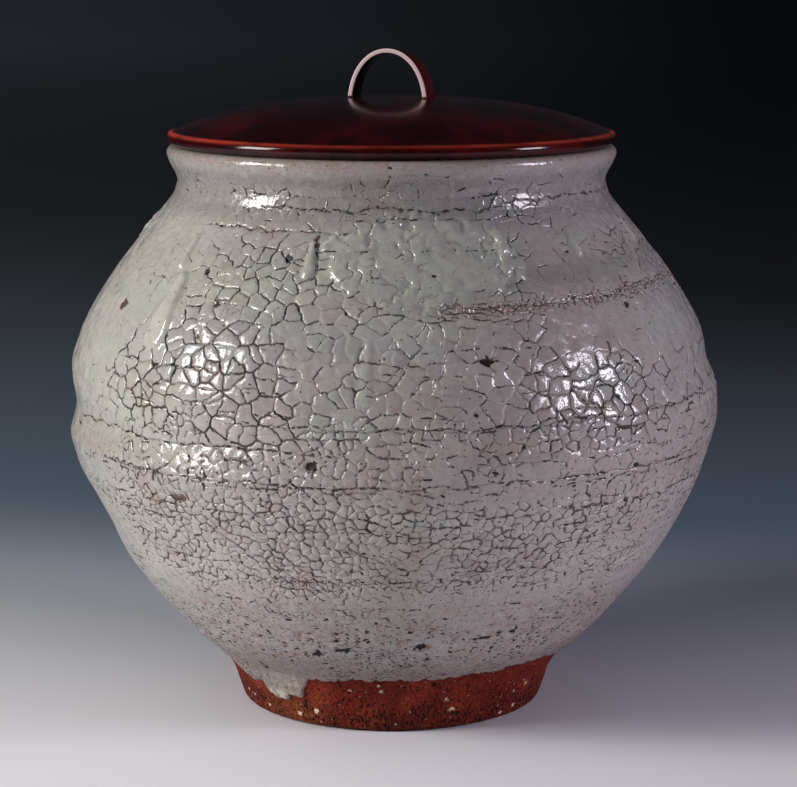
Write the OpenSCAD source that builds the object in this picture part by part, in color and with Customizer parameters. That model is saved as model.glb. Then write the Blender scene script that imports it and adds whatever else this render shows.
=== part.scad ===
// Lidded stoneware water jar: thrown clay, thick crackled glaze and a lacquered wooden lid.
// Millimetres. The origin is the centre of the foot's underside, +Z is up,
// and the lid's handle spans along X.

/* [Jar] */
// Widest outside diameter of the glazed jar, at the belly seam
belly_d = 203.6; // [182:0.2:226]
// Height of the belly seam above the ground
belly_z = 93; // [80:0.5:105]
// Height of the lip's crest above the ground
jar_h = 173.4; // [160:0.2:190]
// Narrowest outside diameter of the glazed neck
neck_d = 131.2; // [118:0.2:142]
// Depth of the neck's narrowest line below the crest
neck_drop = 11.3; // [8:0.1:16]
// Widest outside diameter of the glazed lip
lip_d = 138.4; // [130:0.2:150]
// Radius of the rounding on both edges of the lip
lip_round = 2.4; // [1.8:0.1:3]
// Outside diameter of the glazed body where it meets the foot
root_d = 107; // [92:0.5:122]
// Lean of the wall at the foot, measured from upright
root_lean = 53; // [42:0.5:60]

/* [Curves of the jar] */
// Length of the wall's straight pull upward from the foot
root_pull = 44.5; // [30:0.5:52]
// Length of the upright pull below the belly seam
low_pull = 9.5; // [5:0.1:18]
// Length of the upright pull above the belly seam
high_pull = 35.8; // [26:0.2:44]
// Length of the upright pull below the neck
neck_pull = 6.6; // [4:0.1:12]

/* [Walls] */
// Thickness of the thrown clay wall
wall_t = 6.5; // [5:0.1:9]
// Thickness of the clay floor
floor_t = 7; // [5:0.1:10]
// Thickness of the outer glaze
glaze_t = 1.2; // [0.6:0.1:1.6]
// Thickness of the glaze lining inside
lining_t = 0.8; // [0.4:0.1:1.4]
// Height of the bare clay band between the foot and the glaze
bare_band = 2; // [1:0.1:6]
// Depth of the collar's joint below the neck's narrowest line
collar_drop = 7; // [4:0.1:14]

/* [Foot] */
// Height of the foot ring
foot_h = 16; // [12:0.1:20]
// Ledge of the foot ring beyond the clay that stands on it
foot_ledge = 0.5; // [0.2:0.1:3]
// Draw-in of the foot ring from its top to its base
foot_taper = 4.8; // [2:0.1:8]
// Radius of the rounding on the foot's outer edge
foot_round = 1.8; // [1:0.1:3]
// Width of the flat land that the jar stands on
foot_land = 9; // [6:0.1:12]
// Draft of the recess inside the foot ring
recess_draft = 2; // [0.5:0.1:4]

/* [Lid] */
// Inset of the lid's edge from the lip's edge
lid_inset = 0.4; // [0:0.1:1.5]
// Thickness of the lid's edge
rim_t = 3.2; // [2.4:0.1:4.2]
// Depth of the rounding on the lid's edge
rim_round = 1.2; // [0.8:0.1:1.6]
// Height of the bevel that lifts the edge off the lip
rim_lift = 0.8; // [0.4:0.1:1.4]
// Rise of the lid's dome above its edge
lid_rise = 10.2; // [6:0.1:14]
// Fullness of the dome: a higher power keeps the middle flatter
lid_fullness = 2.9; // [2:0.1:4]
// Thickness of the lid's board over its hollow
board_t = 6; // [5:0.1:7]

/* [Locating hoop] */
// Radial clearance between the hoop and the neck's lining
hoop_clear = 1.1; // [0.5:0.1:2]
// Thickness of the hoop
hoop_t = 4; // [3:0.1:5.5]
// Reach of the hoop below the lid's seat
hoop_h = 7; // [4:0.1:9]
// Depth that the hoop is let into the board
hoop_let = 2; // [1:0.1:2.5]
// Bevel on the hoop's lower edges
hoop_bevel = 1; // [0.4:0.1:1.4]

/* [Handle] */
// Span of the handle between the middles of its legs
handle_span = 23.6; // [18:0.2:34]
// Height of the handle above the lid
handle_h = 15; // [11:0.2:22]
// Width of the bent strip
strip_w = 10; // [7:0.2:16]
// Thickness of the bent strip
strip_t = 1.4; // [1:0.1:2.4]
// Width of the shoulder beside each tenon
shoulder_w = 1.5; // [0.5:0.1:2.5]
// Length of each tenon
tenon_l = 4; // [3:0.1:4.5]
// Clearance all round a tenon in its mortise
mortise_clear = 0.1; // [0.05:0.01:0.2]

/* [Hidden] */
$fn = 128;

clay_colour = "#8a4632";
glaze_colour = "#b4b4ac";
lining_colour = "#a3a49c";
lacquer_colour = "#4a0d0c";
hoop_colour = "#2e0a0a";

// Steps along each curve, and the angle between points on a rounded edge
wall_steps = 14;
lip_steps = 6;
arch_steps = 16;
arc_step = 22.5;
// Points of an outline closer than this are one point
same_point = 0.01;
// Reach of a cutting shape past the face that it opens through
cut_over = 1;

belly_r = belly_d / 2;
neck_r = neck_d / 2;
lip_r = lip_d / 2;
root_r = root_d / 2;
neck_z = jar_h - neck_drop;
lip_z = jar_h - lip_round;
collar_z = neck_z - collar_drop;
glaze_z = foot_h + bare_band;
floor_z = foot_h + floor_t;
clay_in = glaze_t + wall_t;
lining_in = clay_in + lining_t;

function bezier(p, t) =
    (1 - t)^3 * p[0] + 3 * (1 - t)^2 * t * p[1] + 3 * (1 - t) * t^2 * p[2] + t^3 * p[3];

function bezier_way(p, t) =
    (1 - t)^2 * (p[1] - p[0]) + 2 * (1 - t) * t * (p[2] - p[1]) + t^2 * (p[3] - p[2]);

// A wall point: radius, height, and how much wider a layer is across than square to the wall
function wall_point(p, t) =
    let (at = bezier(p, t), way = bezier_way(p, t))
    [at[0], at[1], norm(way) / way[1]];

low_curve = [
    [root_r, foot_h],
    [root_r + root_pull * sin(root_lean), foot_h + root_pull * cos(root_lean)],
    [belly_r, belly_z - low_pull],
    [belly_r, belly_z]
];
high_curve = [
    [belly_r, belly_z],
    [belly_r, belly_z + high_pull],
    [neck_r, neck_z - neck_pull],
    [neck_r, neck_z]
];
lip_mid_z = (neck_z + lip_z) / 2;
lip_curve = [[neck_r, neck_z], [neck_r, lip_mid_z], [lip_r, lip_mid_z], [lip_r, lip_z]];

wall = concat(
    [for (i = [0 : wall_steps]) wall_point(low_curve, i / wall_steps)],
    [for (i = [1 : wall_steps]) wall_point(high_curve, i / wall_steps)],
    [for (i = [1 : lip_steps]) wall_point(lip_curve, i / lip_steps)]
);

// The wall's surface at a depth below the glaze, from the foot up to the lip
function layer(depth) = [for (p = wall) [p[0] - depth * p[2], p[1]]];

function layer_r(depth, z) = lookup(z, [for (p = layer(depth)) [p[1], p[0]]]);

// The stretch of a layer between two heights
function stretch(depth, low, high) = concat(
    [[layer_r(depth, low), low]],
    [for (p = layer(depth)) if (p[1] > low + same_point && p[1] < high - same_point) p],
    [[layer_r(depth, high), high]]
);

function reversed(points) = [for (i = [len(points) - 1 : -1 : 0]) points[i]];

function distinct(points) = [
    for (i = [0 : len(points) - 1])
        if (norm(points[i] - points[(i + len(points) - 1) % len(points)]) > same_point) points[i]
];

function arc(centre, radius, from, to) = [
    for (a = [from : arc_step : to]) centre + radius * [cos(a), sin(a)]
];

// The lip's rounded edges and crest at a depth below the glaze, from outside to inside
mouth_r = layer_r(lining_in, lip_z);
function lip(depth) = concat(
    arc([lip_r - lip_round, lip_z], lip_round - depth, 0, 90),
    arc([mouth_r + lip_round, lip_z], lip_round - depth, 90, 180)
);

module turned(points) {
    rotate_extrude() polygon(distinct(points));
}

// A layer of the wall between two depths and two heights
module wall_band(outer, inner, low, high) {
    turned(concat(stretch(outer, low, high), reversed(stretch(inner, low, high))));
}

foot_top_r = layer_r(glaze_t, foot_h) + foot_ledge;
foot_base_r = foot_top_r - foot_taper;
recess_r = foot_base_r - foot_round - foot_land;

module foot_ring() {
    color(clay_colour) turned(concat(
        [[recess_r, 0]],
        arc([foot_base_r - foot_round, foot_round], foot_round, -90, 0),
        [[foot_top_r, foot_h], [recess_r - recess_draft, foot_h]]
    ));
}

module lower_bowl() {
    color(clay_colour) turned(concat(
        [[0, foot_h]],
        stretch(glaze_t, foot_h, belly_z),
        reversed(stretch(clay_in, floor_z, belly_z)),
        [[0, floor_z]]
    ));
}

module upper_bowl() {
    color(clay_colour) wall_band(glaze_t, clay_in, belly_z, collar_z);
}

module neck_collar() {
    color(clay_colour) turned(concat(
        stretch(glaze_t, collar_z, lip_z),
        lip(glaze_t),
        reversed(stretch(clay_in, collar_z, lip_z))
    ));
}

module lower_glaze() {
    color(glaze_colour) wall_band(0, glaze_t, glaze_z, belly_z);
}

module upper_glaze() {
    color(glaze_colour) turned(concat(
        stretch(0, belly_z, lip_z),
        lip(0),
        reversed(lip(glaze_t)),
        reversed(stretch(glaze_t, belly_z, lip_z))
    ));
}

module glaze_lining() {
    color(lining_colour) turned(concat(
        [[0, floor_z]],
        stretch(clay_in, floor_z, lip_z),
        reversed(stretch(lining_in, floor_z + lining_t, lip_z)),
        [[0, floor_z + lining_t]]
    ));
}

lid_r = lip_r - lid_inset;
edge_r = lid_r - rim_round;
seat_z = jar_h;
edge_z = seat_z + rim_lift + rim_t / 2;
edge_top = seat_z + rim_lift + rim_t;
lid_top = edge_top + lid_rise;
hoop_r = layer_r(lining_in, neck_z) - hoop_clear;
hoop_in_r = hoop_r - hoop_t;
hoop_top = seat_z + hoop_let;

function dome_z(r) = edge_top + lid_rise * (1 - (r / edge_r)^lid_fullness);

dome_steps = 18;
hollow_steps = 10;
tenon_w = strip_w - 2 * shoulder_w;
mortise_h = tenon_l + mortise_clear + cut_over;

module lid_board() {
    edge = [for (a = [-90 : arc_step : 90]) [edge_r + rim_round * cos(a), edge_z + rim_t / 2 * sin(a)]];
    dome = [for (i = [dome_steps : -1 : 0]) let (r = edge_r * i / dome_steps) [r, dome_z(r)]];
    hollow = [for (i = [0 : hollow_steps]) let (r = hoop_in_r * i / hollow_steps) [r, dome_z(r) - board_t]];
    color(lacquer_colour) difference() {
        turned(concat(
            hollow,
            [[hoop_in_r, hoop_top], [hoop_r, hoop_top], [hoop_r, seat_z], [edge_r - rim_round, seat_z]],
            edge,
            dome
        ));
        for (leg = [-1, 1]) {
            translate([leg * handle_span / 2, 0, lid_top - tenon_l - mortise_clear + mortise_h / 2])
                cube([strip_t + 2 * mortise_clear, tenon_w + 2 * mortise_clear, mortise_h], center = true);
        }
    }
}

module lid_hoop() {
    hoop_base = seat_z - hoop_h;
    color(hoop_colour) turned([
        [hoop_in_r, hoop_base + hoop_bevel],
        [hoop_in_r + hoop_bevel, hoop_base],
        [hoop_r - hoop_bevel, hoop_base],
        [hoop_r, hoop_base + hoop_bevel],
        [hoop_r, hoop_top],
        [hoop_in_r, hoop_top]
    ]);
}

// How far the arch's curve pulls up from a leg and out from its top, as shares of its height and half span
leg_pull = 0.6;
top_pull = 0.55;

module lid_handle() {
    half = handle_span / 2;
    arch_h = handle_h - strip_t / 2;
    curve = [[half, 0], [half, arch_h * leg_pull], [half * top_pull, arch_h], [0, arch_h]];
    // One face of the bent strip, from the right leg over the top to the left leg
    function face(shift) = [
        for (i = [-arch_steps : arch_steps])
            let (
                t = 1 - abs(i) / arch_steps,
                way = bezier_way(curve, t),
                at = bezier(curve, t) + shift * [way[1], -way[0]] / norm(way)
            )
            [i > 0 ? -at[0] : at[0], at[1]]
    ];
    strip = concat(
        [[half + strip_t / 2, -tenon_l]],
        face(strip_t / 2),
        [[-half - strip_t / 2, -tenon_l], [-half + strip_t / 2, -tenon_l]],
        reversed(face(-strip_t / 2)),
        [[half - strip_t / 2, -tenon_l]]
    );
    color(lacquer_colour) translate([0, 0, lid_top]) difference() {
        rotate([90, 0, 0]) linear_extrude(height = strip_w, center = true) polygon(distinct(strip));
        for (edge = [-1, 1]) {
            translate([0, edge * (tenon_w + shoulder_w + cut_over) / 2, -(tenon_l + cut_over) / 2])
                cube([handle_span + strip_t + 2 * cut_over, shoulder_w + cut_over, tenon_l + cut_over],
                     center = true);
        }
    }
}

foot_ring();
lower_bowl();
upper_bowl();
neck_collar();
lower_glaze();
upper_glaze();
glaze_lining();
lid_board();
lid_hoop();
lid_handle();
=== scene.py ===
"""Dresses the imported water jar: hand-thrown clay, crackled glaze, a lacquered lid and a plain studio."""
import math

import bpy
import numpy as np
from bpy.props import FloatProperty, FloatVectorProperty, PointerProperty
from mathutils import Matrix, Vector


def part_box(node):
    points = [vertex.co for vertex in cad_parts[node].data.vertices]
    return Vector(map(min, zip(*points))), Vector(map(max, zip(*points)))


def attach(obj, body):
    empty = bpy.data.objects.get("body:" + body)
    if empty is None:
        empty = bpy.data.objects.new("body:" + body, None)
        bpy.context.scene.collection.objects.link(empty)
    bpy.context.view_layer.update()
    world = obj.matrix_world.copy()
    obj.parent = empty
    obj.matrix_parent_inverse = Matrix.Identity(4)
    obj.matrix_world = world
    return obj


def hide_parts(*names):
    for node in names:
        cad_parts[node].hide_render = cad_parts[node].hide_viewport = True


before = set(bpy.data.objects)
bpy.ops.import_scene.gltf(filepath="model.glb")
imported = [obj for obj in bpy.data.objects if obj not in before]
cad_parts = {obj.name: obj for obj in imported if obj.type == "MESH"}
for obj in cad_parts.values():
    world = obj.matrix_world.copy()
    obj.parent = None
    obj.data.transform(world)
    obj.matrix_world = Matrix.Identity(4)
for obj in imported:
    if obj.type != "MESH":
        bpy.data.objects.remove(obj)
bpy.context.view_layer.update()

bl_info = {
    "name": "Lidded Water Jar",
    "version": (1, 0, 0),
    "blender": (4, 5, 0),
    "location": "View3D > Sidebar > Water Jar",
    "description": "Builds the clay, glaze and lacquer of a lidded water jar around its frame",
    "category": "Object",
}

MM = 0.001
# Azimuth of the photographed side, about +Z from -Y towards +X
FRONT = math.radians(16)
FRONT_WAY = Vector((math.sin(FRONT), -math.cos(FRONT), 0))
RIGHT_WAY = Vector((math.cos(FRONT), math.sin(FRONT), 0))
# Radius of the cylinder that the crackle is drawn on before it is laid round the jar
CHART_R = 100 * MM


# Sizes read from the frame


def ring_points(node):
    """Every turned edge of a CAD node as (radius, height)."""
    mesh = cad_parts[node].data
    spots = np.empty(len(mesh.vertices) * 3)
    mesh.vertices.foreach_get("co", spots)
    spots = spots.reshape(-1, 3)
    rings = np.column_stack([np.hypot(spots[:, 0], spots[:, 1]), spots[:, 2]])
    return np.unique(rings.round(5), axis=0)


def wall_of(node, side):
    """A CAD node's outer wall (side 1) or inner wall (side -1), as (radius, height) from low to high."""
    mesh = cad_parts[node].data
    rings = set()
    for face in mesh.polygons:
        outward = side * face.normal.xy.dot(face.center.xy.normalized())
        if outward > 0.02:
            corners = [mesh.vertices[k].co for k in face.vertices]
            rings.update((round(co.xy.length, 5), round(co.z, 5)) for co in corners)
    return np.array(sorted(rings, key=lambda ring: ring[::-1]))


BELLY_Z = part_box("upper_glaze")[0].z
CREST_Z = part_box("upper_glaze")[1].z
GLAZE_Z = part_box("lower_glaze")[0].z
FOOT_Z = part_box("foot_ring")[1].z
SEAT_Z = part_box("lid_board")[0].z
LID_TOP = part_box("lid_board")[1].z
LID_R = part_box("lid_board")[1].x
LIP_RINGS = ring_points("upper_glaze")
MOUTH_R, LIP_Z = LIP_RINGS[np.argmin(LIP_RINGS[:, 0])]
LIP_ROUND = CREST_Z - LIP_Z
LIP_R = LIP_RINGS[np.isclose(LIP_RINGS[:, 1], LIP_Z), 0].max()


# Paths of turned sections, in (radius, height)


def arc(centre, radius, start, end, count):
    """Points on an arc, with angles in degrees."""
    turns = np.radians(np.linspace(start, end, count))
    return np.column_stack([centre[0] + radius * np.cos(turns), centre[1] + radius * np.sin(turns)])


def lengths(path):
    """Distance along a path to each of its points."""
    return np.concatenate([[0], np.cumsum(np.hypot(*np.diff(path, axis=0).T))])


def along(path, spots):
    """Points of a path at the given distances along it."""
    run = lengths(path)
    return np.column_stack([np.interp(spots, run, path[:, k]) for k in (0, 1)])


def evenly(path, step):
    """The same path with its points at even steps."""
    whole = lengths(path)[-1]
    return along(path, np.linspace(0, whole, max(2, round(whole / step) + 1)))


def eased(path, step, reach):
    """The path with its corners rounded over about the given reach, and its ends kept."""
    fine = evenly(np.asarray(path), step)
    half = max(1, round(2.5 * reach / step))
    weights = np.exp(-0.5 * (np.arange(-half, half + 1) * step / reach) ** 2)
    weights /= weights.sum()
    before = 2 * fine[0] - fine[half:0:-1]
    after = 2 * fine[-1] - fine[-2:-half - 2:-1]
    longer = np.vstack([before, fine, after])
    return np.column_stack([np.convolve(longer[:, k], weights, "valid") for k in (0, 1)])


def normals_of(path):
    """Unit normals on the left of a path's way."""
    way = np.gradient(path, axis=0)
    way /= np.hypot(way[:, 0], way[:, 1])[:, None]
    return np.column_stack([-way[:, 1], way[:, 0]])


# Modelling with operators


def clear_selection():
    """Leaves object mode with nothing selected."""
    if bpy.context.object and bpy.context.object.mode != "OBJECT":
        bpy.ops.object.mode_set(mode="OBJECT")
    bpy.ops.object.select_all(action="DESELECT")


def pick(piece):
    """Makes a piece the one selected object."""
    clear_selection()
    piece.select_set(True)
    bpy.context.view_layer.objects.active = piece


def edit_all(piece):
    """Opens a piece in edit mode with all of it selected."""
    pick(piece)
    bpy.ops.object.mode_set(mode="EDIT")
    bpy.ops.mesh.select_all(action="SELECT")


def draw_line(name, points):
    """A line of vertices through points, drawn with the extrude tool."""
    clear_selection()
    bpy.context.tool_settings.mesh_select_mode = (True, False, False)
    bpy.ops.mesh.primitive_plane_add(size=MM)
    piece = bpy.context.object
    piece.name = piece.data.name = name
    bpy.ops.object.mode_set(mode="EDIT")
    bpy.ops.mesh.select_all(action="SELECT")
    bpy.ops.mesh.merge(type="CENTER")
    bpy.ops.transform.translate(value=points[0])
    for step in np.diff(points, axis=0):
        bpy.ops.mesh.extrude_region_move(TRANSFORM_OT_translate={"value": step})
    bpy.ops.object.mode_set(mode="OBJECT")
    return piece


def mark(piece, **fields):
    """Stores named numbers on a piece's vertices."""
    for name, numbers in fields.items():
        layer = piece.data.attributes.new(name, "FLOAT", "POINT")
        layer.data.foreach_set("value", np.asarray(numbers, np.float32))


def marks_of(piece, name):
    """Reads named numbers from a piece's vertices."""
    numbers = np.empty(len(piece.data.vertices), np.float32)
    piece.data.attributes[name].data.foreach_get("value", numbers)
    return numbers


def spots_of(piece):
    """A piece's vertices as an array."""
    spots = np.empty(len(piece.data.vertices) * 3, np.float32)
    piece.data.vertices.foreach_get("co", spots)
    return spots.reshape(-1, 3)


def corners_of(piece):
    """The vertex at each corner of a piece's faces."""
    corners = np.empty(len(piece.data.loops), np.int32)
    piece.data.loops.foreach_get("vertex_index", corners)
    return corners


def mark_ways(piece, name, ways):
    """Stores a named vector on each of a piece's vertices."""
    layer = piece.data.attributes.new(name, "FLOAT_VECTOR", "POINT")
    layer.data.foreach_set("vector", ways.ravel())


def throw(name, path, steps, **fields):
    """Turns a section round the jar's axis, as on a wheel. Fields are stored on its vertices."""
    piece = draw_line(name, [(r, 0, z) for r, z in path])
    mark(piece, **fields)
    wheel = piece.modifiers.new("wheel", "SCREW")
    wheel.steps = wheel.render_steps = steps
    wheel.use_merge_vertices = True
    wheel.merge_threshold = 0.002 * MM
    bpy.ops.object.modifier_apply(modifier=wheel.name)
    edit_all(piece)
    bpy.ops.mesh.remove_doubles(threshold=0.002 * MM)
    bpy.ops.mesh.normals_make_consistent(inside=False)
    bpy.ops.object.mode_set(mode="OBJECT")
    size = sum(face.center.dot(face.normal) * face.area for face in piece.data.polygons)
    if size < 0:
        edit_all(piece)
        bpy.ops.mesh.flip_normals()
        bpy.ops.object.mode_set(mode="OBJECT")
    bpy.ops.object.shade_smooth()
    return piece


def apply_relief(piece, relief):
    """Moves a piece's surface with a node tree, and keeps the result."""
    pick(piece)
    modifier = piece.modifiers.new("relief", "NODES")
    modifier.node_group = relief
    bpy.ops.object.modifier_apply(modifier=modifier.name)


def hand_over(piece, material, body, slot, *nodes):
    """Finishes a piece: its material, the body it moves with and the nodes it stands for."""
    piece.data.materials.clear()
    piece.data.materials.append(material)
    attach(piece, body)
    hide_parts(*nodes)


# Node trees


class Field:
    """A number that varies over a surface: a node socket that takes part in sums."""

    def __init__(self, bench, socket):
        self.bench = bench
        self.socket = socket

    def __add__(self, other):
        return self.bench.math("ADD", self, other)

    __radd__ = __add__

    def __mul__(self, other):
        return self.bench.math("MULTIPLY", self, other)

    __rmul__ = __mul__

    def __sub__(self, other):
        return self.bench.math("SUBTRACT", self, other)

    def __rsub__(self, other):
        return self.bench.math("SUBTRACT", other, self)

    def __truediv__(self, other):
        return self.bench.math("DIVIDE", self, other)

    def __abs__(self):
        return self.bench.math("ABSOLUTE", self)


class Bench:
    """Lays nodes in a shader or geometry tree. Inputs are fields, sockets or plain values."""

    def __init__(self, tree):
        self.tree = tree

    def add(self, kind, **settings):
        node = self.tree.nodes.new(kind)
        for name, value in settings.items():
            setattr(node, name, value)
        return node

    def feed(self, socket, value):
        value = value.socket if isinstance(value, Field) else value
        if isinstance(value, bpy.types.NodeSocket):
            self.tree.links.new(value, socket)
        else:
            socket.default_value = value

    def math(self, operation, *values, clamp=False):
        node = self.add("ShaderNodeMath", operation=operation, use_clamp=clamp)
        for socket, value in zip(node.inputs, values):
            self.feed(socket, value)
        return Field(self, node.outputs[0])

    def clamp(self, value):
        return self.math("ADD", value, 0.0, clamp=True)

    def least(self, first, *others):
        for other in others:
            first = self.math("MINIMUM", first, other)
        return first

    def most(self, first, *others):
        for other in others:
            first = self.math("MAXIMUM", first, other)
        return first

    def rise(self, value, low, high):
        """0 below low and 1 above high, with a smooth step between."""
        node = self.add("ShaderNodeMapRange", interpolation_type="SMOOTHSTEP")
        for socket, number in zip(node.inputs, (value, low, high, 0.0, 1.0)):
            self.feed(socket, number)
        return Field(self, node.outputs[0])

    def hill(self, value, centre, reach):
        """1 at the centre, falling smoothly to 0 at the given reach."""
        return 1.0 - self.rise(abs(value - centre), 0.0, reach)

    def band(self, value, low, high, soft):
        """1 between low and high, with soft ends."""
        return self.rise(value, low - soft, low + soft) * (1.0 - self.rise(value, high - soft, high + soft))

    def vector(self, x, y, z):
        node = self.add("ShaderNodeCombineXYZ")
        for socket, value in zip(node.inputs, (x, y, z)):
            self.feed(socket, value)
        return node.outputs[0]

    def parts(self, vector):
        node = self.add("ShaderNodeSeparateXYZ")
        self.feed(node.inputs[0], vector)
        return [Field(self, socket) for socket in node.outputs]

    def vector_math(self, operation, *values):
        node = self.add("ShaderNodeVectorMath", operation=operation)
        for socket, value in zip(node.inputs, values):
            self.feed(socket, value)
        return node.outputs[0]

    def scaled(self, vector, factor):
        node = self.add("ShaderNodeVectorMath", operation="SCALE")
        self.feed(node.inputs[0], vector)
        self.feed(node.inputs["Scale"], factor)
        return node.outputs[0]

    def dot(self, vector, way):
        node = self.add("ShaderNodeVectorMath", operation="DOT_PRODUCT")
        self.feed(node.inputs[0], vector)
        self.feed(node.inputs[1], way)
        return Field(self, node.outputs["Value"])

    def noise_node(self, vector, size, detail, rough):
        node = self.add("ShaderNodeTexNoise")
        self.feed(node.inputs["Vector"], vector)
        self.feed(node.inputs["Scale"], 1 / size)
        self.feed(node.inputs["Detail"], detail)
        self.feed(node.inputs["Roughness"], rough)
        return node

    def noise(self, vector, size, detail=2.0, rough=0.5):
        """Cloudy noise from 0 to 1 with features of about the given size."""
        return Field(self, self.noise_node(vector, size, detail, rough).outputs[0])

    def noise_way(self, vector, size, detail=1.0):
        """A vector of noise, each part from -0.5 to 0.5."""
        node = self.noise_node(vector, size, detail, 0.5)
        return self.vector_math("SUBTRACT", node.outputs[1], (0.5, 0.5, 0.5))

    def cells(self, vector, size, feature, dimensions="2D", loose=1.0):
        node = self.add("ShaderNodeTexVoronoi", feature=feature, voronoi_dimensions=dimensions)
        self.feed(node.inputs["Vector"], vector)
        self.feed(node.inputs["Scale"], 1 / size)
        self.feed(node.inputs["Randomness"], loose)
        return node

    def plates(self, vector, size, loose):
        """Cells of about the given size, with the distance to the nearest edge.

        Also three random numbers for that edge, how near the edge's end is, and the height of a flat
        plate that is tilted by chance in each cell.
        """
        border = self.cells(vector, size, "DISTANCE_TO_EDGE", loose=loose)
        gap = Field(self, border.outputs["Distance"]) * size
        near = self.cells(vector, size, "F1", loose=loose)
        next_near = self.cells(vector, size, "F2", loose=loose)
        pair = self.vector_math("ADD", near.outputs["Color"], next_near.outputs["Color"])
        node = self.add("ShaderNodeTexWhiteNoise", noise_dimensions="3D")
        self.feed(node.inputs["Vector"], pair)
        corner = self.rise(Field(self, near.outputs["Distance"]), 0.55, 0.72)
        lean = self.vector_math("SUBTRACT", near.outputs["Color"], (0.5, 0.5, 0.5))
        tilt = self.dot(self.vector_math("SUBTRACT", vector, near.outputs["Position"]), lean)
        return (gap, *self.parts(node.outputs["Color"]), corner, tilt)

    def row_edge(self, value, size):
        """Distance of a number to the nearest of random levels about the given step apart."""
        node = self.add("ShaderNodeTexVoronoi", feature="DISTANCE_TO_EDGE", voronoi_dimensions="1D")
        self.feed(node.inputs["W"], value)
        self.feed(node.inputs["Scale"], 1 / size)
        return Field(self, node.outputs["Distance"]) * size

    def dots(self, vector, size, share, radius, dimensions="2D"):
        """1 inside scattered dots: a share of the cells hold one, of up to the given radius."""
        node = self.cells(vector, size, "F1", dimensions)
        choice, growth, _ = self.parts(node.outputs["Color"])
        spread = (growth * 0.7 + 0.3) * radius
        inside = 1.0 - self.rise(Field(self, node.outputs["Distance"]) * size, spread * 0.6, spread)
        return inside * self.math("LESS_THAN", choice, share)

    def mix(self, factor, first, second):
        """Blends two colours."""
        node = self.add("ShaderNodeMix", data_type="RGBA")
        self.feed(node.inputs[0], factor)
        self.feed(node.inputs[6], first)
        self.feed(node.inputs[7], second)
        return node.outputs[2]

    def between(self, factor, first, second):
        """Blends two numbers."""
        node = self.add("ShaderNodeMix", data_type="FLOAT")
        for socket, value in zip((node.inputs[0], node.inputs[2], node.inputs[3]), (factor, first, second)):
            self.feed(socket, value)
        return Field(self, node.outputs[0])


def new_relief(name):
    """A geometry tree that moves vertices: its bench, the position, and a function that closes it.

    The function takes the offset, and the marks to store on the vertices before they move.
    """
    tree = bpy.data.node_groups.new(name, "GeometryNodeTree")
    tree.interface.new_socket("Geometry", in_out="INPUT", socket_type="NodeSocketGeometry")
    tree.interface.new_socket("Geometry", in_out="OUTPUT", socket_type="NodeSocketGeometry")
    bench = Bench(tree)
    source = bench.add("NodeGroupInput")
    position = bench.add("GeometryNodeInputPosition").outputs[0]

    def close(offset, kept=None):
        geometry = source.outputs[0]
        for name, value in (kept or {}).items():
            keep = bench.add("GeometryNodeStoreNamedAttribute", data_type="FLOAT", domain="POINT")
            keep.inputs["Name"].default_value = name
            bench.feed(keep.inputs["Geometry"], geometry)
            bench.feed(keep.inputs["Value"], value)
            geometry = keep.outputs[0]
        place = bench.add("GeometryNodeSetPosition")
        bench.feed(place.inputs["Geometry"], geometry)
        bench.feed(place.inputs["Offset"], offset)
        result = bench.add("NodeGroupOutput")
        bench.feed(result.inputs[0], place.outputs[0])
        return tree

    return bench, position, close


def stored(bench, name):
    """A number stored on the vertices, read in a geometry tree."""
    node = bench.add("GeometryNodeInputNamedAttribute", data_type="FLOAT")
    node.inputs["Name"].default_value = name
    return Field(bench, node.outputs[0])


def new_material(name):
    """A material with a Principled shader: the material, its bench, the shader and object coordinates."""
    material = bpy.data.materials.new(name)
    material.use_nodes = True
    material.node_tree.nodes.clear()
    bench = Bench(material.node_tree)
    shader = bench.add("ShaderNodeBsdfPrincipled")
    result = bench.add("ShaderNodeOutputMaterial")
    bench.feed(result.inputs["Surface"], shader.outputs["BSDF"])
    position = bench.add("ShaderNodeTexCoord").outputs["Object"]
    return material, bench, shader, position


def bump(bench, shader, height):
    """Feeds a height in metres to a shader's normal."""
    node = bench.add("ShaderNodeBump")
    node.inputs["Distance"].default_value = 1.0
    bench.feed(node.inputs["Height"], height)
    bench.feed(shader.inputs["Normal"], node.outputs["Normal"])


# Settings


def tint(red, green, blue):
    """A screen colour, 0 to 255 a channel, as the linear colour that nodes use."""
    return tuple(((c / 255 + 0.055) / 1.055) ** 2.4 for c in (red, green, blue))


def colour(name, description, default):
    """A colour property."""
    return FloatVectorProperty(name=name, description=description, default=default, size=3, min=0, max=1,
                               subtype="COLOR")


def length(name, description, default):
    """A length property in metres."""
    return FloatProperty(name=name, description=description, default=default, min=0, unit="LENGTH",
                         precision=4)


def power(name, description, default):
    """A lamp's strength in watts."""
    return FloatProperty(name=name, description=description, default=default, min=0, unit="POWER")


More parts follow.
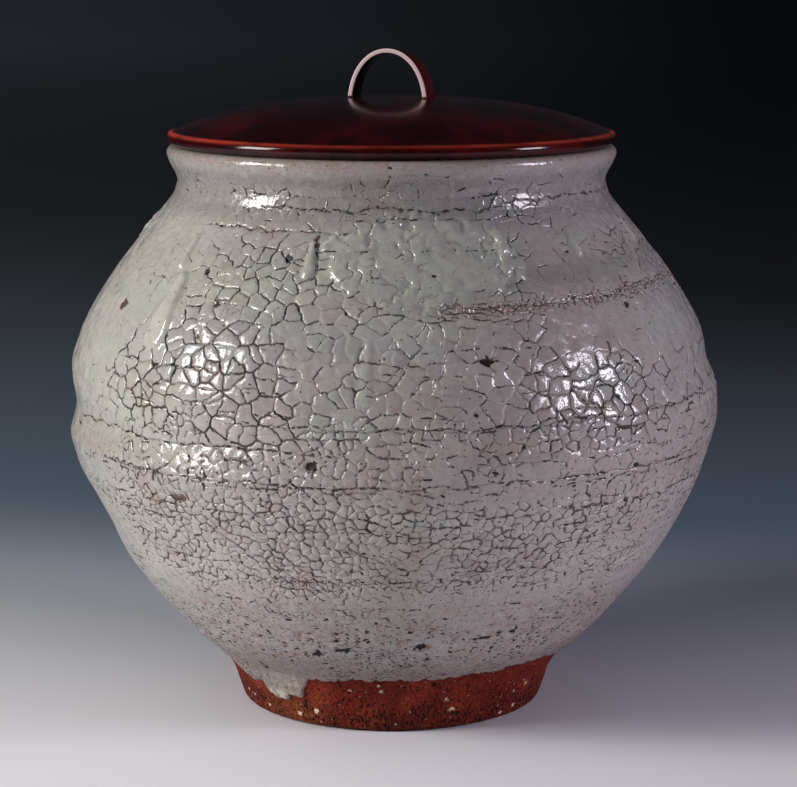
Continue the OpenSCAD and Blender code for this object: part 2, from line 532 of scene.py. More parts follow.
class WaterJarGlaze(bpy.types.PropertyGroup):
    """Colours and crackle of the glaze."""

    thin: colour("Thin glaze", "Where the pink clay shows through", tint(161, 152, 147))
    thick: colour("Thick glaze", "Glassy pools and runs", tint(157, 160, 151))
    pale: colour("Pale glaze", "Dense, cloudy glaze", tint(184, 180, 172))
    cool: colour("Cool glaze", "Bands of bluish bloom", tint(152, 149, 151))
    warm: colour("Warm glaze", "Bands toasted by the fire", tint(172, 152, 138))
    crack: colour("Cracks", "Dirt at the bottom of open cracks", tint(30, 20, 17))
    stain: colour("Stain", "Iron that bleeds beside the cracks", tint(122, 70, 52))
    iron: colour("Iron spots", "Specks of iron in the clay", tint(78, 44, 34))
    # The neck's darker grey is partly thin glaze and partly painted shade under the lid's overhanging rim
    collar: colour("Collar glaze", "Thin grey glaze on the neck and lip", tint(131, 127, 125))
    # Darker grey: the real darker glaze near the foot, and painted shade in the hollow above the crumbled
    # ridge
    grey_glaze_and_shade: colour("Ash", "Thin dark glaze above the crumbled ridge", tint(122, 121, 117))
    pit: colour("Pits", "Burst bubbles and pinholes", tint(30, 22, 20))
    froth: colour("Froth", "Bubbled end of a run over the foot", tint(206, 202, 192))
    plates: length("Plates", "Size of the crackle on the shoulder", 5.4 * MM)
    grains: length("Grains", "Size of the crackle below the belly", 3.1 * MM)
    crumbs: length("Crumbs", "Size of the finest crackle", 2.3 * MM)
    crack_width: length("Crack width", "Half the width of the widest cracks", 0.56 * MM)
    lining: colour("Lining", "Plain glaze inside the jar", tint(176, 172, 162))


class WaterJarClay(bpy.types.PropertyGroup):
    """Colours of the bare clay."""

    red: colour("Red clay", "Fired clay of the foot", tint(112, 36, 24))
    dark: colour("Scorched clay", "Darker clay where the flame licked", tint(48, 19, 14))
    orange: colour("Bright clay", "Freshly scraped clay", tint(150, 62, 40))
    scorch: colour("Ash scorch", "Clay below a run of glaze", tint(124, 74, 40))
    pore: colour("Pores", "Burnt holes in the clay", tint(22, 13, 11))
    grog: colour("Grog", "White grains in the clay", tint(214, 190, 166))
    grain: length("Grain", "Size of the sand in the clay", 0.9 * MM)


class WaterJarLacquer(bpy.types.PropertyGroup):
    """Colours of the lid."""

    deep: colour("Deep lacquer", "Many coats over the wood", tint(32, 3, 4))
    warm: colour("Warm lacquer", "Where the coats are thinner", tint(64, 8, 9))
    # Rubbed lacquer on the rim and on the hoop's lower edge; on the rim's left and right it is made brighter
    # as a painted highlight
    wear_and_sheen: colour("Worn edge", "Lacquer rubbed thin on the rim", tint(212, 76, 56))
    # The handle's edge colour is a painted reflection of a bright light in front, laid on the strip's edges
    bare: colour("Handle edge", "Pale edge of the bent strip", tint(222, 194, 195))
    rim: length("Rim", "Width of the worn line on the rim", 1.3 * MM)


class WaterJarStudio(bpy.types.PropertyGroup):
    """The floor, the camera and the lamps."""

    floor: colour("Floor", "Pale floor round the jar", tint(248, 246, 252))
    dusk: colour("Dusk", "Floor beyond the lamps", tint(94, 110, 126))
    night: colour("Night", "Floor far behind on the right", tint(30, 33, 37))
    evening: colour("Evening", "Floor far behind on the left", tint(88, 95, 102))
    distance: length("Camera distance", "From the jar's axis to the camera", 800 * MM)
    height: length("Camera height", "Height of the camera above the floor", 232.8 * MM)
    shift: length("Camera shift", "How far the camera stands to the right of the axis", 2.17 * MM)
    pitch: FloatProperty(name="Pitch", description="How far the camera looks down",
                         default=math.radians(9.74), subtype="ANGLE")
    lens: FloatProperty(name="Lens", description="Focal length in millimetres", default=117.44)
    left: power("Left lamp", "Strength of the left soft box", 13.2)
    right: power("Right lamp", "Strength of the right soft box", 6.7)
    fill: power("Fill lamp", "Strength of the overhead fill", 1.5)
    room: colour("Room", "Colour of the dim light all round", tint(92, 100, 112))
    room_light: FloatProperty(name="Room light", description="Strength of the dim light all round",
                              default=0.14, min=0)


# The jar's hand-made shape

# Thickness of the glaze coat's shell, and the rounding of its lower edge, which stands off the foot
COAT = 1.6 * MM
EDGE = 1.2 * MM
# Step between the coat's rows of vertices
ROW = 0.85 * MM
# Vertices round each turned piece
COAT_TURNS = 700
CLAY_TURNS = 288
FOOT_TURNS = 540
LINING_TURNS = 300
LID_TURNS = 360
HOOP_TURNS = 240
# The wall that leaves the turned form and the lining that shows rings: low end, high end and softness
BENT_BELT = (26 * MM, 149 * MM, 6 * MM)
RINGED_BELT = (34 * MM, 150 * MM, 8 * MM)
# The foot's clay is smeared up over the bowl to this height
SMEAR_Z = 27 * MM
# The glaze's lower edge is laid by hand below this height
LAID_Z = 31 * MM
# Slumps of the thrown wall on the left and on the right: height, reach and depth in mm
LEFT_SLUMPS = ((93, 9, 2.9), (100, 10, 1.9), (62, 16, 1.4))
RIGHT_SLUMPS = ((109, 9, 1.3), (82, 9, 0.5), (36, 16, 0.5))


def hand_shape(bench, position):
    """How far the thrown wall leaves the turned form, in metres: slumps, rings and a slow wobble."""
    x, y, z = bench.parts(position)
    radius = bench.math("SQRT", x * x + y * y)
    right_share = bench.dot(position, RIGHT_WAY) / radius * 0.5 + 0.5

    def slumps(hills):
        """Depth of the slumps on one side in mm."""
        return sum(bench.hill(z, height * MM, reach * MM) * depth for height, reach, depth in hills)

    left = slumps(LEFT_SLUMPS) + 0.4
    right = slumps(RIGHT_SLUMPS) + 0.15
    wobble = (bench.noise(position, 70 * MM, 1.0) - 0.5) * 0.8
    laid = bench.vector(x * 0.1, y * 0.1, z)
    rings = (bench.noise(laid, 8 * MM, 2.0) - 0.5) * 0.9
    swells = (bench.noise(laid, 24 * MM, 1.0) - 0.5) * 0.8
    body = bench.band(z, *BENT_BELT)
    inset = bench.between(right_share, left, right)
    return bench.least((wobble + rings + swells - inset) * body, 0.0) * MM


def turn_of(spots):
    """Angle of each point round the jar from the photographed side, to the right."""
    return np.arctan2(spots[:, :2] @ RIGHT_WAY.xy, spots[:, :2] @ FRONT_WAY.xy)


def smooth(value, low, high):
    """0 below low and 1 above high, with a smooth step between."""
    share = np.clip((value - low) / (high - low), 0, 1)
    return share * share * (3 - 2 * share)


def coat_path():
    """The outside of the glaze from the inner lip, over the crest and down past the foot's shoulder."""
    lip = np.vstack([arc((MOUTH_R + LIP_ROUND, LIP_Z), LIP_ROUND, 180, 90, 9),
                     arc((LIP_R - LIP_ROUND, LIP_Z), LIP_ROUND, 90, 0, 9)])
    upper = wall_of("upper_glaze", 1)
    upper = upper[(upper[:, 1] <= LIP_Z) & (upper[:, 0] > MOUTH_R + LIP_ROUND)][::-1]
    lower = wall_of("lower_glaze", 1)[::-1]
    foot = wall_of("foot_ring", 1)
    over_foot = [(np.interp(z, foot[:, 1], foot[:, 0]) + EDGE, z) for z in (0.92 * FOOT_Z, 0.5 * FOOT_Z, 0)]
    body = eased(np.vstack([upper, lower[1:], over_foot]), 0.4 * MM, 2 * MM)
    return np.vstack([lip, body[1:]])


# The glaze's lower edge: its mean height, its tilt to the right, runs of (turn in degrees, drop, half width)
# and waves of (count round the jar, height in mm, start)
EDGE_Z = 18.2 * MM
EDGE_TILT = 2.4 * MM
EDGE_RUNS = ((-54, 4.5 * MM, 12), (-42, 9 * MM, 9), (-36, 7.5 * MM, 7), (14, 1 * MM, 4), (104, 4 * MM, 7),
             (-152, 6 * MM, 8), (171, 3 * MM, 5))
EDGE_WAVES = ((3, 0.35, 0.4), (7, 0.3, 2.1), (13, 0.32, 4.0), (29, 0.34, 1.2), (53, 0.3, 5.1),
              (97, 0.26, 3.3), (151, 0.16, 0.7))


def edge_height(turn):
    """Height of the glaze's lower edge at each turn round the jar."""
    height = EDGE_Z + EDGE_TILT * np.sin(turn)
    for count, size, start in EDGE_WAVES:
        height = height + size * MM * np.sin(count * turn + start)
    drops = np.zeros_like(turn)
    for place, drop, half in EDGE_RUNS:
        away = np.abs(np.degrees((turn - math.radians(place) + math.pi) % (2 * math.pi) - math.pi))
        drops = np.maximum(drops, drop * (1 - smooth(away, 0.3 * half, 1.3 * half)))
    return height - drops


def throw_coat():
    """The whole glaze coat as one closed shell, with its lower edge laid by hand."""
    path = coat_path()
    normals = normals_of(path)
    run = lengths(path)
    fall = np.concatenate([[0], np.cumsum(CHART_R / ((path[1:, 0] + path[:-1, 0]) / 2) * np.diff(run))])
    crest = run[np.argmax(path[:, 1])]
    below = run > crest
    reach = {z: np.interp(-z, -path[below, 1], run[below]) for z in (BELLY_Z, LAID_Z, GLAZE_Z)}
    belly, laid, end = reach[BELLY_Z], reach[LAID_Z], reach[GLAZE_Z]

    rows = np.concatenate([np.linspace(0, belly, round(belly / ROW))[:-1],
                           np.linspace(belly, end, round((end - belly) / ROW))])
    back = np.concatenate([np.linspace(end, belly, 10), np.linspace(belly, 0, 12)[1:]])
    # The edge rounds over into the clay
    tip = np.clip((rows - (end - EDGE)) / EDGE, 0, 1)
    depth = np.concatenate([EDGE * (1 - np.sqrt(1 - tip ** 2)), np.full(len(back), COAT)])
    spots = np.concatenate([rows, back])
    front = np.concatenate([np.ones(len(rows)), np.zeros(len(back))])
    section = along(path, spots)
    slope = np.column_stack([np.interp(spots, run, normals[:, k]) for k in (0, 1)])
    section = section - slope * depth[:, None]
    skin = front * smooth(spots, crest + 2.5 * MM, crest + 9 * MM) * (1 - smooth(spots, end - 3 * MM, end))
    order = np.append(np.arange(len(spots)), 0)
    piece = throw("glaze_coat", section[order], COAT_TURNS, spot=spots[order], depth=depth[order],
                  front=front[order], skin=skin[order])

    # Stretches the last rows down to the edge's own height at each turn
    places = spots_of(piece)
    turn = turn_of(places)
    spot = marks_of(piece, "spot").astype(float)
    edge = np.interp(-edge_height(turn), -path[below, 1], run[below])
    low = spot > laid
    spot[low] = laid + (spot[low] - laid) * (edge[low] - laid) / (end - laid)
    radius, height, lean, rise = [np.interp(spot, run, column) for column in (*path.T, *normals.T)]
    deep = marks_of(piece, "depth")
    way = places[:, :2] / np.hypot(places[:, 0], places[:, 1])[:, None]
    moved = np.column_stack([way * (radius - lean * deep)[:, None], height - rise * deep])
    piece.data.vertices.foreach_set("co", moved.astype(np.float32).ravel())
    mark(piece, fall=np.interp(spot, run, fall))
    return piece, np.interp(belly, run, fall)


# The glaze's pools, runs and crackle

# Thick runs: turn from the front in degrees, top and end height, half width and thickness in mm
RUNS = (
    (-46.5, 138, 124, 5.6, 1.1),
    (-17.0, 150, 143.5, 2.4, 1.0),
    (-4.0, 125, 110, 1.9, 0.45),
    (44.5, 152, 147, 1.9, 1.0),
    (24.5, 152, 149, 3.0, 0.9),
    (-49.0, 150, 143, 1.7, 0.9),
    (-40.3, 119, 114, 1.9, 0.5),
    (72.0, 152, 148, 1.8, 0.9),
    (112.0, 150, 132, 3.0, 0.7),
    (150.0, 146, 118, 4.4, 0.7),
    (-105.0, 148, 139, 2.2, 0.6),
    (-138.0, 142, 120, 3.6, 0.7),
)
# Poured pools on the shoulder: turn in degrees, height, half width and half height in mm
POOLS = ((7.0, 147, 33, 12), (133.0, 145, 40, 13), (-112.0, 148, 30, 10))
# Between these heights the neck's glaze begins, and below the lip's crest the crackle ends
NECK_RISE = (152 * MM, 159 * MM)
LIP_FADE = (167 * MM, 171 * MM)
# Belts of the glaze: low end, high end and softness of the ends
UPPER_BELT = (98 * MM, 154 * MM, 6 * MM)
BELLY_BELT = (70 * MM, 102 * MM, 8 * MM)
LOWER_BELT = (46 * MM, 80 * MM, 9 * MM)
PITTED_BELT = (26 * MM, 41 * MM, 4 * MM)
# Between these heights the root of the jar, just above the foot, fades out
ROOT_FADE = (32 * MM, 54 * MM)
# Smooth bands with little crackle: height, half width in mm and strength
BANDS = ((81.5, 4, 0.55), (49, 5, 0.45), (152, 4, 0.6), (128, 5, 0.3))
# Where the glaze crackled more or less than round it: turn, height, half turn, half height and amount
QUIRKS = (
    (-36, 110, 24, 17, 0.7),
    (-34, 161, 20, 6, 0.9),
    (30, 161, 14, 6, 0.6),
    (38, 106, 17, 16, 0.8),
    (52, 133, 36, 22, -0.65),
    (72, 82, 34, 60, -0.4),
    (-76, 92, 30, 60, -0.8),
    (-62, 138, 34, 24, -0.75),
    (-15, 66, 55, 24, 0.3),
    (2, 98, 26, 10, 0.35),
    (130, 112, 42, 26, 0.5),
    (-140, 74, 42, 28, 0.35),
    (180, 137, 44, 20, -0.6),
)
# Long level cracks: height, rise per turn of one radian in mm, first and last turn, and how open they are
LEVELS = (
    (159.6, 0.0, -30, 26, 0.9),
    (161.0, 0.0, 34, 180, 0.5),
    (157.0, 0.3, -8, 34, 0.6),
    (153.4, 0.0, -46, -12, 0.9),
    (133.2, 2.6, 12, 75, 0.5),
    (102.2, 0.4, -25, 70, 0.8),
    (95.0, 0.0, -70, -12, 0.9),
    (85.8, 0.5, -60, 60, 0.8),
    (56.0, 0.6, -24, 30, 0.5),
    (126.0, -1.5, 95, 170, 0.9),
    (99.0, 0.8, -170, -100, 0.9),
)
# Holes and iron spots: turn, height, half width and half height in mm, and 1 for iron or 0 for a dark hole
FLAWS = (
    (-13, 91.5, 1.9, 1.4, 0),
    (16.4, 120.1, 2.0, 1.0, 0),
    (50.5, 131.6, 0.9, 1.2, 0),
    (-11.2, 30.8, 2.4, 0.8, 0),
    (7.1, 32.7, 1.4, 1.3, 0),
    (21.1, 34.3, 2.6, 0.8, 0),
    (-18.6, 28.8, 1.4, 1.2, 0),
    (29.6, 35.7, 1.2, 1.0, 0),
    (-37, 15.4, 2.8, 2.2, 0),
    (-40.5, 18.4, 1.3, 2.6, 0),
    (-22, 146.5, 0.8, 1.3, 0),
    (-40.5, 142, 0.8, 1.0, 0),
    (-34.5, 133.5, 1.0, 0.8, 0),
    (-37.9, 78.6, 2.4, 1.8, 1),
    (-61.8, 129.7, 1.8, 1.5, 1),
    (-16.6, 151.5, 0.9, 1.7, 1),
    (-1.3, 121.4, 1.0, 0.8, 1),
    (44.1, 113.6, 0.9, 0.8, 1),
    (128, 96, 1.4, 1.2, 0),
    (-122, 118, 1.3, 1.0, 1),
    (165, 70, 1.8, 1.0, 0),
)
# Ridges where the glaze crumbled: height, rise per turn of one radian and half height in mm, first and
# last turn in degrees, and strength
RIDGES = ((132.6, 2.6, 2.9, 8, 82, 0.9), (55.4, 0.6, 2.2, -24, 22, 0.5), (126.0, -1.5, 2.4, 100, 165, 0.9))
# Slow marks that the relief stores on the mesh and the material reads again
KEPT = ("quirk", "crumbled", "pools", "glassy", "runs", "hole_reach", "iron_reach")


class GlazeField:
    """Masks of the glaze over the jar, the same for the mesh's relief and for the material."""

    def __init__(self, bench, position, fall, settings, read=None):
        self.bench = bench
        self.position = position
        self.x, self.y, self.z = bench.parts(position)
        drift = bench.noise_way(position, 7 * MM, 2.0)
        shiver = bench.noise_way(position, 2.4 * MM, 1.0)
        stray = bench.vector_math("ADD", bench.scaled(drift, 3.4 * MM), bench.scaled(shiver, 1.2 * MM))
        jagged = bench.noise_way(position, 1.0 * MM, 1.0)
        stray = bench.vector_math("ADD", stray, bench.scaled(jagged, 0.45 * MM))
        self.stray = stray
        self.fall = fall
        self.true_turn = bench.math("ARCTAN2", bench.dot(position, RIGHT_WAY), bench.dot(position, FRONT_WAY))
        self.turn, self.chart = self.unroll(stray)
        calm = bench.vector_math("ADD", bench.scaled(shiver, 1.0 * MM), bench.scaled(jagged, 0.45 * MM))
        self.calm_turn, self.calm_chart = self.unroll(calm)
        self.patch = bench.noise(position, 26 * MM, 2.0)
        self.fleck = bench.noise(position, 5 * MM, 2.0)
        self.radius = bench.math("SQRT", self.x * self.x + self.y * self.y)
        self.zones()
        if read is None:
            self.quirks()
            self.pour()
            self.flaws()
        else:
            for name in KEPT:
                setattr(self, name, read(name))
        self.crackle(settings)
        ragged = (bench.noise(position, 1.8 * MM, 1.0) - 0.5) * 2.2
        self.holes = 1.0 - bench.rise(self.hole_reach + ragged, 0.7, 1.0)
        self.iron = 1.0 - bench.rise(self.iron_reach + ragged, 0.7, 1.0)

    def unroll(self, stray):
        """The turn round the jar and a flat chart of its side, both pushed about by stray."""
        bench = self.bench
        loose = bench.vector_math("ADD", self.position, stray)
        turn = bench.math("ARCTAN2", bench.dot(loose, RIGHT_WAY), bench.dot(loose, FRONT_WAY))
        return turn, bench.vector(turn * CHART_R, (self.fall + bench.parts(stray)[2]) * 1.18, 0.0)

    def zones(self):
        """Belts of the jar, from the neck down."""
        bench, z = self.bench, self.z
        self.neck = bench.rise(z, *NECK_RISE)
        self.below_lip = 1.0 - bench.rise(z, *LIP_FADE)
        self.upper = bench.band(z, *UPPER_BELT)
        self.belly = bench.band(z, *BELLY_BELT)
        self.lower = bench.band(z, *LOWER_BELT)
        self.root = 1.0 - bench.rise(z, *ROOT_FADE)
        self.pitted = bench.band(z, *PITTED_BELT)
        self.plain = 0.0
        for height, half, strength in BANDS:
            self.plain = bench.most(bench.hill(z, height * MM, half * MM) * strength, self.plain)

    def quirks(self):
        """Patches that crackled more or less."""
        bench, z = self.bench, self.z
        self.quirk = 0.0
        for turned, height, wide, tall, amount in QUIRKS:
            across = (1.0 - self.facing(turned) / self.radius) * (2 / math.radians(wide) ** 2)
            up = (z - height * MM) * (1 / (tall * MM))
            self.quirk = (1.0 - bench.rise(across + up * up, 0.0, 1.0)) * amount + self.quirk
        self.crumbled = 0.0
        for height, climb, half, first, last, strength in RIDGES:
            here = bench.band(self.true_turn, math.radians(first), math.radians(last), 0.15) * strength
            ridge = bench.hill(z - self.true_turn * (climb * MM), height * MM, half * MM)
            self.crumbled = bench.most(ridge * here, self.crumbled)

    def facing(self, turned):
        """Distance out from the axis towards a turn in degrees."""
        azimuth = FRONT + math.radians(turned)
        return self.bench.dot(self.position, (math.sin(azimuth), -math.cos(azimuth), 0))

    def flaws(self):
        """How far the nearest hole and the nearest iron spot lie, as shares of their size."""
        bench = self.bench
        reach = [9.0, 9.0]
        for turned, height, wide, tall, iron in FLAWS:
            across = abs(self.facing(turned + 90)) * (0.7 / (wide * MM))
            up = abs(self.z - height * MM) * (0.7 / (tall * MM))
            behind = bench.math("LESS_THAN", self.facing(turned), 0.0) * 9.0
            reach[iron] = bench.least(across + up + behind, reach[iron])
        self.hole_reach, self.iron_reach = reach

    def pour(self):
        """Pools and runs that stand proud of the thinner glaze round them."""
        bench, z = self.bench, self.z
        ragged = (bench.noise(self.position, 13 * MM, 3.0) - 0.5) * 1.3
        self.pools = 0.0
        self.brim = 0.0
        self.glassy = 0.0
        for turned, height, wide, tall in POOLS:
            across = (self.true_turn - math.radians(turned)) * (CHART_R / (wide * MM))
            up = (z - height * MM) * (1 / (tall * MM))
            reach = bench.math("SQRT", across * across + up * up) + ragged
            self.pools = bench.most(1.0 - bench.rise(reach, 0.9, 1.0), self.pools)
            self.brim = bench.most(bench.hill(reach, 0.86, 0.14), self.brim)
            self.glassy = bench.most(1.0 - bench.rise(reach, 0.6, 1.5), self.glassy)
        bent = self.turn * 0.35 + self.true_turn * 0.65
        self.runs = 0.0
        for turned, top, end, wide, thick in RUNS:
            across = (bent - math.radians(turned)) * CHART_R
            past = bench.most(z - top * MM, end * MM - z, 0.0)
            swell = bench.rise(z, top * MM, end * MM) * 0.4 + 0.6
            reach = bench.math("SQRT", across * across + past * past) * (1 / (wide * MM))
            self.runs = bench.most((1.0 - bench.rise(reach, swell * 0.6, swell)) * thick, self.runs)

    def crackle(self, settings):
        """Plates on the shoulder, grains at the belly and crumbs near the foot, with broken cracks."""
        bench, position = self.bench, self.position
        level = self.z + (self.patch - 0.5) * (40 * MM) + (self.fleck - 0.5) * (22 * MM)
        level = level - self.crumbled * (150 * MM)
        coarse = bench.math("GREATER_THAN", level, 97 * MM)
        fine = bench.math("LESS_THAN", level, 47 * MM)

        def chosen(plates, grains, crumbs):
            """The value that belongs to the crackle found here."""
            return bench.between(coarse, bench.between(fine, grains, crumbs), plates)

        nets = zip(bench.plates(self.chart, settings.plates, 1.0),
                   bench.plates(self.calm_chart, settings.grains, 0.9),
                   bench.plates(self.calm_chart, settings.crumbs, 0.9))
        edge, chance, spread, depth, corner, tilt = [chosen(*net) for net in nets]
        seam = chosen(*(math.pi - abs(turn) for turn in (self.turn, self.calm_turn, self.calm_turn)))
        edge = bench.least(edge, seam * CHART_R)
        lively = (self.patch - 0.5) * 1.6 + (self.fleck - 0.5) * 1.2 + self.quirk - self.plain * 0.5
        amount = bench.clamp(self.upper * 0.48 + self.belly * 0.33 + self.lower * 0.36 + self.root * 0.16
                             + self.neck * 0.12 - self.pools * 0.4 - self.runs * 0.8 + lively * 0.55
                             + self.crumbled * 0.45) * self.below_lip

        # Level cracks wander along the throwing rings, in dashes
        wave = (bench.noise(position, 14 * MM, 2.0) - 0.5) * (4 * MM) + bench.parts(self.stray)[2] * 0.8
        laid = bench.vector(self.x * 0.3, self.y * 0.3, self.z)
        dash = bench.rise(bench.noise(laid, 3.4 * MM, 2.0), 0.52, 0.6)
        rows = bench.row_edge(self.z + wave * 0.6, 6.5 * MM)
        row_amount = dash * bench.clamp(self.belly * 0.7 + self.lower * 0.6 + self.upper * 0.25 + lively * 0.4
                                        + self.neck * 0.25 + self.root * 0.1)
        for height, climb, first, last, share in LEVELS:
            here = bench.band(self.true_turn, math.radians(first), math.radians(last), 0.12) * share
            gap = abs(self.z + wave - (self.true_turn * climb + height) * MM)
            close = bench.math("LESS_THAN", gap, rows)
            row_amount = bench.between(close, row_amount, here)
            rows = bench.least(gap, rows)
        row_amount = row_amount * self.below_lip

        self.tilt = tilt * bench.clamp(1.0 - self.neck * 0.8 - self.plain * 0.5 - self.root * 0.5)
        beads = bench.noise(position, 1.25 * MM, 1.0)
        broken = bench.rise(bench.noise(position, 2.4 * MM, 1.0), 0.42, 0.5)
        self.dirt = bench.rise(bench.noise(position, 10 * MM, 2.0), 0.34, 0.6)

        slim = 0.9 - self.upper * (0.3 - bench.clamp(self.quirk) * 0.1)

        def opened(distance, share, chance, spread, corner):
            """The dark bottom of a crack. Each stretch between two plates is open or shut by chance."""
            shown = bench.rise(share * 1.05 - chance, 0.0, 0.12)
            stroke = bench.rise(beads + corner * 0.3 + spread * 0.16, 0.5, 0.76)
            reach = (stroke * (spread * 0.6 + 0.75) * slim + 0.01) * settings.crack_width
            return (1.0 - bench.rise(distance, reach * 0.5, reach)) * shown

        def beside(distance, reach):
            """How near the surface lies to a crack."""
            near = bench.clamp(1.0 - distance * (1 / (reach * MM)))
            return near * near

        shown = bench.rise(amount * 1.15 - chance, -0.3, 0.15) * bench.rise(amount, 0.02, 0.3)
        self.line = bench.most(opened(edge, amount, chance, spread, corner) * (depth * 0.35 + 0.65),
                               opened(rows, row_amount, 1.0 - broken * 0.9, 0.4, 0.2))
        self.hair = beside(edge, 0.35) * shown
        self.groove = bench.most(beside(edge, 0.75) * shown, beside(rows, 0.7) * row_amount)
        self.sunk = bench.most(beside(edge, 1.5) * bench.rise(amount, 0.05, 0.6),
                               beside(rows, 1.5) * row_amount)
        # Near the raised lips of the cracks, which the material paints paler, partly as a painted highlight
        self.lip = beside(edge, 1.3) * bench.rise(amount, 0.1, 0.6)
        self.near = bench.most(beside(edge, 2.4) * amount, beside(rows, 2.2) * row_amount)
        # Worm-like folds where the glaze lies thickest
        tall = bench.vector(self.x, self.y, self.z * 0.7)
        folds = 1.0 - bench.rise(abs(bench.noise(tall, 5.5 * MM, 1.0) - 0.5), 0.0, 0.06)
        self.folds = folds * bench.rise(bench.noise(position, 8 * MM, 1.0), 0.42, 0.55) * self.pools
        # Burst bubbles and pinholes, thickest near the foot
        long = bench.vector_math("MULTIPLY", self.chart, (0.6, 1.0, 1.0))
        self.pits = bench.dots(long, 2.9 * MM, self.pitted * 0.5 + 0.008, 0.9 * MM)
        offset = bench.vector_math("ADD", self.chart, (0.2, 0.3, 0.0))
        holed = self.root * 0.5 + self.lower * 0.2 + self.belly * 0.08 + self.neck * 0.1 + 0.06
        self.pins = bench.dots(offset, 1.6 * MM, holed, 0.38 * MM)


def jar_relief(settings=None):
    """The tree that bends the turned wall into the thrown one, and lays the glaze's relief on it."""
    bench, position, close = new_relief("thrown_wall" if settings is None else "glaze_relief")
    x, y, z = bench.parts(position)
    way = bench.vector_math("NORMALIZE", bench.vector(x, y, 0.0))
    thrown = hand_shape(bench, position)
    if settings is None:
        # Clay keeps under the glaze, except near the foot where it is bare
        under = bench.rise(z, 24 * MM, 36 * MM) * (0.9 * MM)
        return close(bench.scaled(way, (thrown - under) * stored(bench, "front")))
    field = GlazeField(bench, position, stored(bench, "fall"), settings)
    lumps = bench.noise(position, 9 * MM, 2.0) * 0.4
    skin = field.pools * 0.5 + field.brim * 0.35 + field.runs * 0.9 - field.sunk * 0.16 - field.folds * 0.5
    skin = skin + lumps - 0.55
    skin = skin - bench.most(field.pits * 0.5, field.holes * 0.5, field.iron * 0.3)
    outward = bench.add("GeometryNodeInputNormal").outputs[0]
    raised = bench.scaled(outward, skin * stored(bench, "skin") * MM)
    kept = {name: getattr(field, name) for name in KEPT}
    return close(bench.vector_math("ADD", bench.scaled(way, thrown), raised), kept)


# Materials


def rgba(settings_colour):
    """A colour setting as a socket value."""
    return (*settings_colour, 1.0)


class Paint:
    """Coats of a material's colour, each laid over the ones before it."""

    def __init__(self, bench, settings, ground):
        self.bench = bench
        self.settings = settings
        self.shade = rgba(getattr(settings, ground))

    def lay(self, name, share):
        """Lays a colour of the settings over the rest, as thickly as share says."""
        self.shade = self.bench.mix(share, self.shade, rgba(getattr(self.settings, name)))


def own_mark(bench, name, output):
    """A mark stored on a piece's vertices, read in a material."""
    return bench.add("ShaderNodeAttribute", attribute_name=name).outputs[output]


